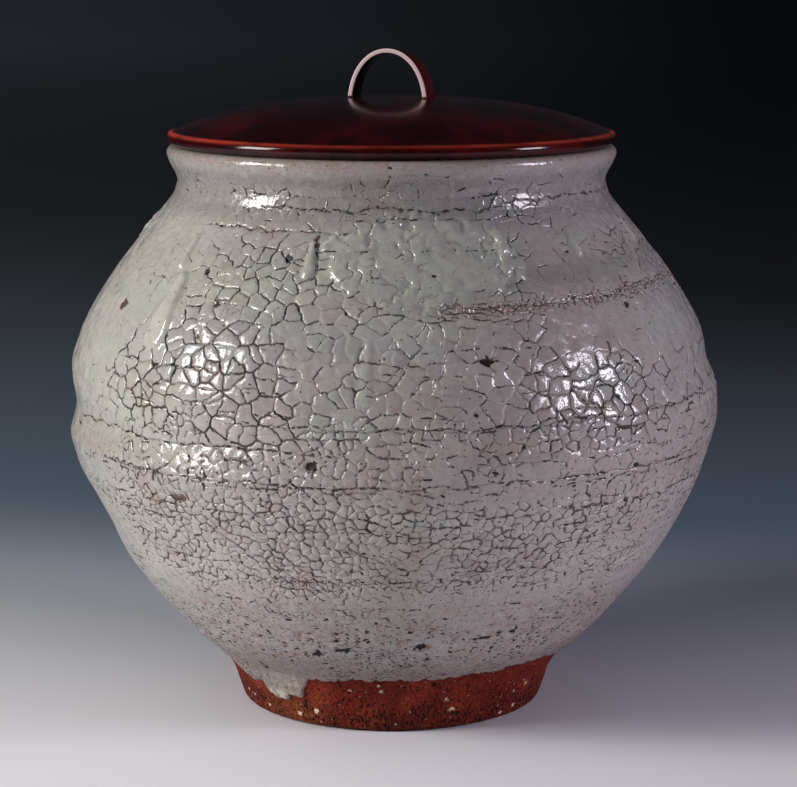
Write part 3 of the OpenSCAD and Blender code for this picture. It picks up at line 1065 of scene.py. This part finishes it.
def glaze_material(settings):
    """Thick grey-white glaze: pink where thin, green and glassy where it pooled, with stained crackle."""
    material, bench, shader, _ = new_material("crackle_glaze")
    rest = own_mark(bench, "rest", "Vector")

    def read(name):
        return Field(bench, own_mark(bench, name, "Fac"))

    field = GlazeField(bench, rest, read("fall"), settings, read)
    laid = bench.vector(field.x * 0.14, field.y * 0.14, field.z)
    cloud = bench.noise(rest, 34 * MM, 3.0)
    streak = bench.noise(laid, 10 * MM, 3.0, 0.6)
    bloom = bench.noise(bench.vector_math("ADD", laid, (0.3, 0.1, 0.5)), 15 * MM, 2.0, 0.6)
    grain = bench.noise(rest, 0.7 * MM, 2.0)
    mottle = bench.noise(rest, 2.6 * MM, 3.0, 0.65)
    brushed = bench.noise(bench.vector(field.x * 0.2, field.y * 0.2, field.z), 1.5 * MM, 2.0, 0.6)
    milky = bench.rise(cloud * 0.6 + streak * 0.5, 0.52, 0.7) * (field.upper * 0.6 + 0.15)
    # Painted light: the flank facing the left lamp is given greener glaze, and paler glaze on the shoulder
    # below
    side = bench.rise(field.facing(-80) / field.radius, 0.55, 1.0) * 0.5
    thick = bench.clamp(field.glassy * 0.5 + field.pools * 0.3 + field.runs * 1.2 + milky + side)
    paint = Paint(bench, settings, "thin")
    paint.lay("thick", thick)
    paint.lay("pale", bench.rise(streak, 0.48, 0.72) * (field.lower * 0.6 + 0.2))
    paint.lay("cool", bench.clamp(bench.rise(bloom, 0.5, 0.72) * 0.8 + field.plain * 0.3))
    warmth = bench.rise(bench.noise(bench.vector_math("ADD", laid, (0.7, 0.4, 0.2)), 9 * MM, 2.0), 0.55, 0.72)
    paint.lay("warm", warmth * (field.belly * 0.4 + field.lower * 0.4 + 0.1))
    paint.lay("cool", bench.rise(brushed, 0.5, 0.72) * (0.2 + field.upper * 0.15))
    # Painted shade: a darker band in the hollow just above the crumbled ridge on the right
    above = bench.hill(field.z - field.true_turn * (2.6 * MM), 139.5 * MM, 6 * MM)
    right = bench.band(field.true_turn, math.radians(16), math.radians(80), 0.25)
    above = above * right * (1.0 - field.pools)
    paint.lay("grey_glaze_and_shade", above * 0.55)
    # Painted shade in part: the neck under the lid's overhanging rim is laid darker grey, along with its thin
    # grey glaze
    paint.lay("collar", field.neck * (field.below_lip * 0.5 + 0.3))
    # Pale glaze on the runs, and painted light on the upper left flank
    paint.lay("pale", bench.clamp(field.runs * 0.5 + side * field.upper))
    crest = bench.rise(field.z, 169.5 * MM, 172 * MM) * bench.rise(mottle, 0.4, 0.65)
    paint.lay("stain", crest * 0.5)
    paint.lay("pale", bench.rise(mottle, 0.5, 0.75) * 0.4)
    paint.lay("stain", bench.rise(mottle, 0.5, 0.25) * (0.24 + field.root * 0.6 + field.lower * 0.1))
    paint.lay("stain", bench.rise(grain, 0.55, 0.75) * (0.14 + field.root * 0.45))
    belt = 1.0 - bench.rise(field.z + (cloud - 0.5) * (14 * MM), 21 * MM, 31 * MM)
    paint.lay("grey_glaze_and_shade", belt * 0.6)
    paint.lay("stain", belt * 0.2)
    # Paler glaze beside the cracks, partly a painted highlight of their lit rims, and on the lower belly
    # painted light from the floor below
    paint.lay("pale", bench.clamp(field.lip * 0.5 + field.lower * 0.25))
    bleed = field.near * bench.rise(bench.noise(rest, 13 * MM, 2.0), 0.5, 0.68)
    rusty = bleed * (0.42 + field.lower * 0.2) + field.near * field.crumbled * 0.28
    paint.lay("stain", bench.clamp(rusty))
    paint.lay("stain", field.hair * (field.dirt * 0.16 + 0.04))
    paint.lay("crack", field.line * (field.dirt * 0.2 + 0.8))
    froth = (1.0 - bench.rise(field.z, 8.5 * MM, 12.5 * MM)) * bench.rise(mottle, 0.38, 0.55)
    paint.lay("froth", froth * 0.7)
    paint.lay("iron", field.iron * 0.9)
    paint.lay("pit", bench.most(field.pits, field.pins * 0.85, field.holes))
    bench.feed(shader.inputs["Base Color"], paint.shade)

    dull = bench.between(thick, 0.2, 0.12) + field.root * 0.25 + field.lower * 0.08 + field.line * 0.3
    dull = dull + bench.most(field.holes, field.pits) * 0.4 - bench.clamp(field.quirk) * 0.07
    bench.feed(shader.inputs["Roughness"], dull + (grain - 0.5) * 0.12)
    hammered = bench.noise(rest, 3.4 * MM, 1.0) * bench.between(bench.clamp(field.quirk), 0.25, 0.07)
    hammered = hammered + field.tilt * (0.15 / MM)
    sand = hammered + mottle * (0.12 + field.root * 0.3)
    sand = sand + grain * (0.016 + field.root * 0.05) + brushed * 0.05
    cut = field.groove * (field.upper * 0.14 + 0.32) + field.sunk * 0.12
    cut = cut + field.line * 0.14 + field.folds * 0.3
    cut = cut + bench.most(field.pins * 0.15, field.pits * 0.15, field.holes * 0.25)
    bump(bench, shader, (sand - cut) * MM)
    return material


def clay_material(settings):
    """Coarse red clay with sand, white grog and burnt pores."""
    material, bench, shader, position = new_material("bare_clay")
    z = bench.parts(position)[2]
    patch = bench.noise(position, 12 * MM, 3.0, 0.6)
    jagged = bench.scaled(bench.noise_way(position, 0.9 * MM, 1.0), 0.7 * MM)
    tall = bench.vector_math("MULTIPLY", bench.vector_math("ADD", position, jagged), (1.0, 1.0, 0.55))
    grain = bench.noise(tall, settings.grain, 2.0, 0.6)
    paint = Paint(bench, settings, "red")
    paint.lay("orange", bench.rise(patch + (grain - 0.5) * 0.5, 0.45, 0.7))
    low = 1.0 - bench.rise(z + (patch - 0.5) * (10 * MM), 4 * MM, 13 * MM)
    burnt = bench.clamp(low * 0.3 + bench.rise(grain, 0.45, 0.65) * 0.75)
    paint.lay("dark", burnt)
    scorch = bench.hill(bench.math("ARCTAN2", bench.dot(position, RIGHT_WAY), bench.dot(position, FRONT_WAY)),
                        math.radians(-38), 0.36) * (1.0 - bench.rise(z, 6 * MM, 13 * MM))
    paint.lay("scorch", scorch * bench.rise(grain, 0.35, 0.6) * 0.8)
    pores = bench.dots(tall, 0.8 * MM, low * 0.5 + 0.2, 0.5 * MM, "3D")
    pores = bench.most(pores, bench.dots(tall, 2.2 * MM, low * 0.16 + 0.03, 0.9 * MM, "3D"))
    shards = bench.scaled(bench.noise_way(position, 0.8 * MM, 1.0), 1.5 * MM)
    chips = bench.vector_math("ADD", bench.vector_math("ADD", position, shards), (0.1, 0.2, 0.3))
    grog = bench.dots(chips, 3.0 * MM, bench.rise(patch, 0.4, 0.7) * 0.3 + 0.05, 1.2 * MM, "3D")
    grog = bench.most(grog, bench.dots(chips, 1.1 * MM, 0.12, 0.4 * MM, "3D") * 0.6)
    dust = bench.dots(chips, 0.7 * MM, 0.6, 0.36 * MM, "3D")
    paint.lay("orange", dust * 0.6)
    paint.lay("pore", pores * 0.92)
    paint.lay("grog", grog)
    bench.feed(shader.inputs["Base Color"], paint.shade)
    bench.feed(shader.inputs["Roughness"], 0.5 + grain * 0.3)
    shader.inputs["Specular IOR Level"].default_value = 0.08
    bump(bench, shader, (grain * 0.7 - pores * 0.5 + grog * 0.25) * MM)
    return material


def lining_material(settings):
    """Plain glaze inside the jar, with faint throwing marks and a few pinholes."""
    material, bench, shader, position = new_material("lining_glaze")
    x, y, z = bench.parts(position)
    streak = bench.noise(bench.vector(x * 0.15, y * 0.15, z), 9 * MM, 3.0)
    cloud = bench.noise(position, 30 * MM, 3.0)
    paint = Paint(bench, settings, "lining")
    paint.lay("thin", bench.rise(streak * 0.5 + cloud * 0.5, 0.4, 0.65))
    pins = bench.dots(position, 6 * MM, 0.3, 0.5 * MM, "3D")
    paint.lay("pit", pins)
    bench.feed(shader.inputs["Base Color"], paint.shade)
    bench.feed(shader.inputs["Roughness"], 0.22 + cloud * 0.12)
    bump(bench, shader, (streak * 0.12 - pins * 0.2) * MM)
    return material


def lacquer_film():
    """The look shared by the lacquered pieces: how deep the coats lie, how dull they are and their ripple."""
    tree = bpy.data.node_groups.new("lacquer_film", "ShaderNodeTree")
    tree.interface.new_socket("Place", in_out="INPUT", socket_type="NodeSocketVector")
    for output in ("Thin", "Dull", "Ripple"):
        tree.interface.new_socket(output, in_out="OUTPUT", socket_type="NodeSocketFloat")
    bench = Bench(tree)
    place = bench.add("NodeGroupInput").outputs[0]
    cloud = bench.noise(place, 22 * MM, 3.0)
    dust = bench.noise(place, 0.8 * MM, 2.0)
    result = bench.add("NodeGroupOutput")
    bench.feed(result.inputs["Thin"], bench.rise(cloud, 0.42, 0.7))
    bench.feed(result.inputs["Dull"], cloud * 0.05 + bench.rise(dust, 0.6, 0.8) * 0.12)
    bench.feed(result.inputs["Ripple"], (bench.noise(place, 9 * MM, 2.0) * 0.06 + dust * 0.0015) * MM)
    return tree


def lacquer_material(name, film, settings, wear_and_sheen, worn_colour, dull):
    """Red-black lacquer over the shared film.

    The functions for wear and dullness give where it is rubbed thin, with painted highlights on the rim's
    sides and a painted reflection on the handle's edges, and its roughness.
    """
    material, bench, shader, position = new_material(name)
    node = bench.add("ShaderNodeGroup", node_tree=film)
    bench.feed(node.inputs["Place"], position)
    paint = Paint(bench, settings, "deep")
    paint.lay("warm", node.outputs["Thin"])
    # Rubbed lacquer, and on the rim's sides and the handle's edges painted highlights and reflections
    rubbed = wear_and_sheen(bench, position)
    paint.lay(worn_colour, rubbed)
    bench.feed(shader.inputs["Base Color"], paint.shade)
    rough = Field(bench, node.outputs["Dull"]) + rubbed * 0.12 + dull(bench, position)
    bench.feed(shader.inputs["Roughness"], rough)
    shader.inputs["Specular IOR Level"].default_value = 0.25
    bump(bench, shader, node.outputs["Ripple"])
    return material


def floor_material(settings):
    """Pale matt floor with painted shade: it goes dark beyond the lamps, sooner on the right."""
    material, bench, shader, position = new_material("studio_floor")
    back = bench.dot(position, FRONT_WAY) * -1.0
    side = bench.dot(position, RIGHT_WAY) / bench.most(back + settings.distance, 0.1)
    # Painted shade: towards the right the floor darkens sooner, like the jar's shadow and the lamps' falloff,
    # and the far floor stays lighter on the left
    gloom = bench.rise(side, -0.2, 0.16)
    left = bench.mix(bench.rise(back, 1.4, 6.0), rgba(settings.evening), rgba(settings.floor))
    far = bench.mix(gloom, left, rgba(settings.night))
    shade = bench.mix(bench.rise(back + gloom * 0.08, -0.15, 0.34), rgba(settings.floor), rgba(settings.dusk))
    # Painted shade: far out to either side the floor darkens, as beyond the lamps' reach
    wide = bench.rise(abs(bench.dot(position, RIGHT_WAY)), 0.25, 0.8)
    shade = bench.mix(wide, shade, rgba(settings.dusk))
    shade = bench.mix(bench.rise(back + gloom * 0.12, 0.1, 1.2), shade, far)
    bench.feed(shader.inputs["Base Color"], shade)
    shader.inputs["Roughness"].default_value = 0.7
    return material


# Pieces


# A glaze piece's map: height of each strip, place and height of the hidden back's band, and the margin
STRIP = 0.45
BAND_AT = 0.46
BAND = 0.03
MARGIN = 0.004


def wrap_map(piece):
    """Unrolls a glaze piece in two strips, left and right of the front, its hidden back in thin bands."""
    corner = corners_of(piece)
    turn = turn_of(spots_of(piece))[corner].reshape(-1, 4)
    spot = marks_of(piece, "spot")[corner].reshape(-1, 4)
    hidden = marks_of(piece, "front")[corner].reshape(-1, 4).min(axis=1) < 0.5
    over = np.ptp(turn, axis=1) > math.pi
    turn[over] = np.where(turn[over] < 0, turn[over] + 2 * math.pi, turn[over])
    right = turn.mean(axis=1) > 0
    u = (turn + np.where(right, 0, math.pi)[:, None]) / (1.01 * math.pi)
    share = (spot - spot.min()) / np.ptp(spot)
    v = np.where(hidden[:, None], BAND_AT + BAND * share, STRIP * share) + 0.5 * right[:, None]
    layer = piece.data.uv_layers.new(name="OFBake")
    layer.data.foreach_set("uv", np.stack([u + MARGIN, v + MARGIN], axis=-1).astype(np.float32).ravel())


class WATERJAR_OT_glaze(bpy.types.Operator):
    """Throw the glaze coat, lay its relief and part it at the belly"""

    bl_idname = "water_jar.glaze"
    bl_label = "Glaze Coat"

    def execute(self, context):
        settings = context.scene.water_jar_glaze
        coat, belly_fall = throw_coat()
        mark_ways(coat, "rest", spots_of(coat))
        apply_relief(coat, jar_relief(settings))
        normals = np.empty(len(coat.data.vertices) * 3, np.float32)
        coat.data.vertex_normals.foreach_get("vector", normals)
        mark_ways(coat, "lie", normals)

        material = glaze_material(settings)
        for piece, node in zip(self.part(context, coat, belly_fall), ("upper_glaze", "lower_glaze")):
            piece.name = piece.data.name = node + "_coat"
            self.close_seam(context, piece)
            hand_over(piece, material, "jar", "crackle_glaze", node)
        return {"FINISHED"}

    def part(self, context, coat, belly_fall):
        """Parts the coat at the belly into its upper and lower half."""
        above = marks_of(coat, "fall")[corners_of(coat)].reshape(-1, 4).mean(axis=1) < belly_fall
        edit_all(coat)
        bpy.ops.mesh.select_all(action="DESELECT")
        bpy.ops.object.mode_set(mode="OBJECT")
        context.tool_settings.mesh_select_mode = (False, False, True)
        coat.data.polygons.foreach_set("select", above)
        bpy.ops.object.mode_set(mode="EDIT")
        bpy.ops.mesh.separate(type="SELECTED")
        bpy.ops.object.mode_set(mode="OBJECT")
        halves = [piece for piece in context.selected_objects if piece != coat]
        if len(halves) != 1:
            raise RuntimeError("The glaze coat didn't part at the belly")
        return halves[0], coat

    def close_seam(self, context, piece):
        """Closes a half at its seam, and keeps the shading that it had before it was parted."""
        pick(piece)
        bpy.ops.object.mode_set(mode="EDIT")
        context.tool_settings.mesh_select_mode = (False, True, False)
        bpy.ops.mesh.select_all(action="DESELECT")
        bpy.ops.mesh.select_non_manifold(use_wire=False, use_multi_face=False, use_non_contiguous=False,
                                         use_verts=False)
        bpy.ops.mesh.bridge_edge_loops()
        bpy.ops.object.mode_set(mode="OBJECT")
        bpy.ops.object.shade_smooth()
        wrap_map(piece)
        lie = np.empty(len(piece.data.vertices) * 3, np.float32)
        piece.data.attributes["lie"].data.foreach_get("vector", lie)
        piece.data.normals_split_custom_set_from_vertices(lie.reshape(-1, 3))
        for spare in ("lie", "spot", "depth", "front", "skin"):
            piece.data.attributes.remove(piece.data.attributes[spare])


class WATERJAR_OT_clay(bpy.types.Operator):
    """Throw the clay wall under the glaze and the bare foot"""

    bl_idname = "water_jar.clay"
    bl_label = "Clay Body"

    def execute(self, context):
        material = clay_material(context.scene.water_jar_clay)
        relief = jar_relief()
        for node in ("lower_bowl", "upper_bowl", "neck_collar"):
            outer = wall_of(node, 1)
            inner = wall_of(node, -1)[::-1]
            first, last = outer[:0], outer[:1]
            if node == "lower_bowl":
                first, last = outer[:1] * (0, 1), inner[-1:] * (0, 1)
            else:
                # Keeps behind the lining, which rounds the throat
                inner = inner + (0.6 * MM, 0)
            section = np.vstack([first, outer, inner, last])
            front = np.concatenate([0 * first[:, 0], np.ones(len(outer)), np.zeros(len(inner)),
                                    np.full(1, node != "lower_bowl")])
            piece = throw(node + "_clay", section, CLAY_TURNS, front=front)
            apply_relief(piece, relief)
            hand_over(piece, material, "jar", "bare_clay", node)
        self.throw_foot(material)
        return {"FINISHED"}

    def throw_foot(self, material):
        """The foot ring, with its clay smeared up over the joint with the bowl."""
        rings = ring_points("foot_ring")
        outer = wall_of("foot_ring", 1)
        recess_low = rings[np.isclose(rings[:, 1], 0), 0].min()
        recess_top = rings[:, 0].min()
        bowl = wall_of("lower_bowl", 1)
        smear = bowl[(bowl[:, 1] > FOOT_Z + 0.1 * MM) & (bowl[:, 1] < SMEAR_Z)]
        skirt = smear + (0.2 * MM, -0.1 * MM)
        outside = eased(np.vstack([[(recess_low, 0)], outer[:-1], skirt]), 0.3 * MM, 0.9 * MM)
        outside = evenly(outside, 0.6 * MM)
        under = smear[::-1] - (0.5 * MM, -0.4 * MM)
        inside = evenly(np.array([(recess_top, FOOT_Z), (recess_low, 0)]), 1.2 * MM)
        section = np.vstack([outside, under, inside])
        piece = throw("foot_ring_clay", section, FOOT_TURNS)
        bench, position, close = new_relief("clay_relief")
        rough = bench.noise(position, 2.4 * MM, 3.0, 0.6) * 0.5
        sand = bench.noise(position, 1.1 * MM, 1.0) * 0.24
        dents = bench.dots(position, 6 * MM, 0.35, 1.4 * MM, "3D") * 0.5
        outward = bench.add("GeometryNodeInputNormal").outputs[0]
        apply_relief(piece, close(bench.scaled(outward, (rough + sand - dents - 0.75) * (0.7 * MM))))
        hand_over(piece, material, "jar", "bare_clay", "foot_ring")


class WATERJAR_OT_lining(bpy.types.Operator):
    """Throw the glaze lining inside the jar"""

    bl_idname = "water_jar.lining"
    bl_label = "Glaze Lining"

    def execute(self, context):
        wall = wall_of("glaze_lining", -1)
        floor_z = wall[0, 1]
        inside = eased(np.vstack([[(0, floor_z)], wall]), 0.5 * MM, 3 * MM)
        inside = evenly(inside, 1.6 * MM)
        inside[0, 0] = 0
        outside = inside + (normals_of(inside) * (-0.6 * MM))
        outside[0, 0] = 0
        section = np.vstack([inside, outside[::-1]])
        piece = throw("glaze_lining_coat", section, LINING_TURNS)
        bench, position, close = new_relief("lining_rings")
        x, y, z = bench.parts(position)
        rings = bench.noise(bench.vector(x * 0.1, y * 0.1, z), 9 * MM, 2.0)
        inward = bench.vector_math("NORMALIZE", bench.vector(x * -1.0, y * -1.0, 0.0))
        body = bench.band(z, *RINGED_BELT)
        apply_relief(piece, close(bench.scaled(inward, rings * body * (0.9 * MM))))
        material = lining_material(context.scene.water_jar_glaze)
        hand_over(piece, material, "jar", "lining_glaze", "glaze_lining")
        return {"FINISHED"}


class WATERJAR_OT_lid(bpy.types.Operator):
    """Turn the lid's board and hoop, bend its handle and lacquer them"""

    bl_idname = "water_jar.lid"
    bl_label = "Lacquered Lid"

    def execute(self, context):
        settings = context.scene.water_jar_lacquer
        film = lacquer_film()
        self.turn_board(settings, film)
        self.turn_hoop(settings, film)
        self.bend_handle(settings, film)
        return {"FINISHED"}

    def turn_board(self, settings, film):
        """The domed board with its rounded rim and hollowed underside."""
        rings = ring_points("lid_board")
        rim_z = rings[np.isclose(rings[:, 0], LID_R, atol=0.01 * MM), 1].mean()
        rim_low = rings[(rings[:, 0] > 0.95 * LID_R) & (rings[:, 1] > SEAT_Z + 0.1 * MM), 1].min()
        half = rim_z - rim_low
        edge_r = rings[np.isclose(rings[:, 1], rim_low, atol=0.01 * MM), 0].max()
        dome = [(edge_r, rim_z + half)]
        for r in np.unique(rings[rings[:, 0] < edge_r, 0])[::-1]:
            top = rings[rings[:, 0] == r, 1].max()
            if top > dome[-1][1]:
                dome.append((r, top))
        dome = np.array(dome[::-1])
        dome = eased(dome, 0.5 * MM, 2.5 * MM)
        dome[0] = (0, LID_TOP)
        dome = evenly(dome, 1.2 * MM)
        curve = np.linspace(math.pi / 2, -math.pi / 2, 15)[1:-1]
        rim = np.column_stack([edge_r + (LID_R - edge_r) * np.cos(curve), rim_z + half * np.sin(curve)])
        hoop_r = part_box("lid_hoop")[1].x
        hoop_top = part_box("lid_hoop")[1].z
        seat_r = rings[np.isclose(rings[:, 1], SEAT_Z), 0].max()
        hollow_r = rings[np.isclose(rings[:, 1], hoop_top, atol=0.01 * MM), 0].min()
        hollow_z = rings[rings[:, 0] == 0, 1].min()
        under = np.array([(edge_r, rim_low), (seat_r, SEAT_Z), (hoop_r, SEAT_Z), (hoop_r, hoop_top),
                          (hollow_r, hoop_top), (0.7 * hollow_r, hollow_z - 2 * MM), (0, hollow_z)])
        section = np.vstack([dome, rim, under])
        piece = throw("lid_board_turned", section, LID_TURNS)
        pick(piece)
        bpy.ops.object.shade_smooth_by_angle(angle=math.radians(40))

        def wear_and_sheen(bench, position):
            x, y, z = bench.parts(position)
            out = bench.math("SQRT", x * x + y * y) - edge_r
            up = z - (rim_z + half * 0.85)
            reach = bench.math("SQRT", out * out + up * up * 0.6)
            # Painted highlight: the worn line is made brighter towards the left and right of the camera's
            # view, where the soft boxes light the rim
            sides = bench.rise(abs(bench.dot(position, RIGHT_WAY)), 0.2 * LID_R, LID_R) * 0.6 + 0.4
            patchy = bench.rise(bench.noise(position, 16 * MM, 3.0), 0.25, 0.6)
            return bench.hill(reach, 0.0, settings.rim) * patchy * sides

        def dull(bench, position):
            x, y, _ = bench.parts(position)
            out = bench.math("SQRT", x * x + y * y)
            return bench.between(bench.rise(out, 0.7 * LID_R, 0.97 * LID_R), 0.17, 0.1)

        material = lacquer_material("lid_lacquer", film, settings, wear_and_sheen, "wear_and_sheen", dull)
        hand_over(piece, material, "lid", "lid_lacquer", "lid_board")

    def turn_hoop(self, settings, film):
        """The hoop that keeps the lid in the mouth."""
        low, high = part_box("lid_hoop")
        inner = ring_points("lid_hoop")[:, 0].min()
        section = [(inner, low.z), (high.x, low.z), (high.x, high.z), (inner, high.z), (inner, low.z)]
        piece = throw("lid_hoop_turned", section, HOOP_TURNS)
        pick(piece)
        modifier = piece.modifiers.new("soft edges", "BEVEL")
        modifier.width = 0.9 * MM
        modifier.segments = 4
        bpy.ops.object.modifier_apply(modifier=modifier.name)
        bpy.ops.object.shade_smooth()

        def wear_and_sheen(bench, position):
            z = bench.parts(position)[2]
            return (1.0 - bench.rise(z, low.z, low.z + 1.5 * MM)) * bench.noise(position, 8 * MM, 2.0) * 0.5

        material = lacquer_material("hoop_lacquer", film, settings, wear_and_sheen, "wear_and_sheen", lambda *_: 0.2)
        hand_over(piece, material, "lid", "hoop_lacquer", "lid_hoop")

    def bend_handle(self, settings, film):
        """The bent strip with its softened edges, its toes let into the board."""
        low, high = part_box("lid_handle")
        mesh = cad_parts["lid_handle"].data
        spots = np.array([v.co for v in mesh.vertices])
        top_inside = spots[np.isclose(spots[:, 0], 0, atol=0.05 * MM), 2].min()
        thick = high.z - top_inside
        half = high.x - thick / 2
        rise = high.z - thick / 2 - LID_TOP - 0.02 * MM
        share = np.linspace(0, 1, 25)[:, None]
        pulls = np.array([(half, 0), (0.94 * half, 0.58 * rise), (0.53 * half, rise), (0, rise)])
        weights = np.hstack([(1 - share) ** 3, 3 * share * (1 - share) ** 2, 3 * share ** 2 * (1 - share),
                             share ** 3])
        leg = weights @ pulls
        toe = low.z - LID_TOP
        arch = np.vstack([[(half, toe)], leg, (leg * (-1, 1))[-2::-1], [(-half, toe)]])
        wide = high.y - low.y
        piece = draw_line("lid_handle_bent", [(x, low.y, z + LID_TOP) for x, z in arch])
        edit_all(piece)
        bpy.ops.mesh.extrude_region_move(TRANSFORM_OT_translate={"value": (0, wide, 0)})
        bpy.ops.object.mode_set(mode="OBJECT")
        solid = piece.modifiers.new("strip", "SOLIDIFY")
        solid.thickness = thick
        solid.offset = 0
        solid.use_even_offset = True
        bpy.ops.object.modifier_apply(modifier=solid.name)
        edges = piece.modifiers.new("soft edges", "BEVEL")
        edges.width = 0.22 * thick
        edges.segments = 3
        edges.angle_limit = math.radians(50)
        bpy.ops.object.modifier_apply(modifier=edges.name)
        edit_all(piece)
        bpy.ops.mesh.normals_make_consistent(inside=False)
        bpy.ops.object.mode_set(mode="OBJECT")
        bpy.ops.object.shade_smooth_by_angle(angle=math.radians(35))

        # Painted reflection: the strip's front and back edges are coloured pale as if they mirrored a bright
        # light in front, fading out just above the board
        def wear_and_sheen(bench, position):
            _, y, z = bench.parts(position)
            above_toe = bench.rise(z, LID_TOP + 0.2 * MM, LID_TOP + 0.8 * MM)
            return bench.rise(abs(y), wide / 2 - 0.2 * MM, wide / 2 - 0.05 * MM) * above_toe * 0.9

        material = lacquer_material("handle_lacquer", film, settings, wear_and_sheen, "bare", lambda *_: 0.12)
        hand_over(piece, material, "lid", "lid_lacquer", "lid_handle")


# Side of the studio's floor in metres, and width of the camera's sensor in millimetres
FLOOR_SIDE = 60
SENSOR = 36
# Soft boxes: turn from the camera and lift in degrees, distance, width and height in metres, and colour
SOFT_BOXES = {
    "left": (-71, 20, 1.1, 0.34, 0.5, (1.0, 0.98, 0.95)),
    "right": (73, 14, 1.1, 0.25, 0.36, (0.92, 0.85, 1.0)),
    "fill": (-8, 70, 1.5, 1.4, 1.0, (1.0, 1.0, 1.0)),
}


class WATERJAR_OT_stage(bpy.types.Operator):
    """Set up the floor, the lamps and the camera"""

    bl_idname = "water_jar.stage"
    bl_label = "Studio"

    def execute(self, context):
        settings = context.scene.water_jar_studio
        clear_selection()
        bpy.ops.mesh.primitive_plane_add(size=FLOOR_SIDE)
        floor = context.object
        floor.name = floor.data.name = "studio_floor"
        floor.data.materials.append(floor_material(settings))

        world = bpy.data.worlds.new("studio")
        world.use_nodes = True
        background = world.node_tree.nodes["Background"]
        background.inputs["Color"].default_value = rgba(settings.room)
        background.inputs["Strength"].default_value = settings.room_light
        context.scene.world = world
        context.scene.view_settings.view_transform = "Standard"

        for name, place in SOFT_BOXES.items():
            lamp = self.soft_box(name + "_box", getattr(settings, name), *place)
            # The fill only lightens the shadows, so the glaze doesn't mirror it
            lamp.visible_glossy = name != "fill"
        self.place_camera(context, settings)
        return {"FINISHED"}

    def soft_box(self, name, watts, turn, lift, distance, wide, tall, light_colour):
        """A soft box aimed at the jar, placed by its turn from the camera and its lift in degrees."""
        azimuth = FRONT + math.radians(turn)
        lift = math.radians(lift)
        level = math.cos(lift)
        way = Vector((math.sin(azimuth) * level, -math.cos(azimuth) * level, math.sin(lift)))
        target = Vector((0, 0, BELLY_Z))
        bpy.ops.object.light_add(type="AREA", location=target + way * distance,
                                 rotation=way.to_track_quat("Z", "Y").to_euler())
        lamp = bpy.context.object
        lamp.name = lamp.data.name = name
        lamp.data.shape = "RECTANGLE"
        lamp.data.size = wide
        lamp.data.size_y = tall
        lamp.data.energy = watts
        lamp.data.color = light_colour
        return lamp

    def place_camera(self, context, settings):
        """The camera at the photograph's place."""
        spot = FRONT_WAY * settings.distance + RIGHT_WAY * settings.shift + Vector((0, 0, settings.height))
        bpy.ops.object.camera_add(location=spot, rotation=(math.pi / 2 - settings.pitch, 0, FRONT))
        camera = context.object
        camera.name = "camera"
        camera.data.lens = settings.lens
        camera.data.sensor_width = SENSOR
        context.scene.camera = camera


# Add-on layout

SETTINGS = {
    "water_jar_glaze": WaterJarGlaze,
    "water_jar_clay": WaterJarClay,
    "water_jar_lacquer": WaterJarLacquer,
    "water_jar_studio": WaterJarStudio,
}
OPERATORS = (WATERJAR_OT_clay, WATERJAR_OT_glaze, WATERJAR_OT_lining, WATERJAR_OT_lid, WATERJAR_OT_stage)


class WATERJAR_PT_panel(bpy.types.Panel):
    """The jar's pieces in the order they are made"""

    bl_idname = "WATERJAR_PT_panel"
    bl_label = "Water Jar"
    bl_space_type = "VIEW_3D"
    bl_region_type = "UI"
    bl_category = "Water Jar"

    def draw(self, context):
        for operator in OPERATORS:
            self.layout.operator(operator.bl_idname)
        for name, group in SETTINGS.items():
            box = self.layout.box()
            for setting in group.__annotations__:
                box.prop(getattr(context.scene, name), setting)


def register():
    for group in (*SETTINGS.values(), *OPERATORS, WATERJAR_PT_panel):
        bpy.utils.register_class(group)
    for name, group in SETTINGS.items():
        setattr(bpy.types.Scene, name, PointerProperty(type=group))


def unregister():
    for name in SETTINGS:
        delattr(bpy.types.Scene, name)
    for group in (WATERJAR_PT_panel, *reversed(OPERATORS), *reversed(SETTINGS.values())):
        bpy.utils.unregister_class(group)


def main():
    register()
    bpy.ops.water_jar.clay()
    bpy.ops.water_jar.glaze()
    bpy.ops.water_jar.lining()
    bpy.ops.water_jar.lid()
    bpy.ops.water_jar.stage()


if __name__ == "__main__":
    main()
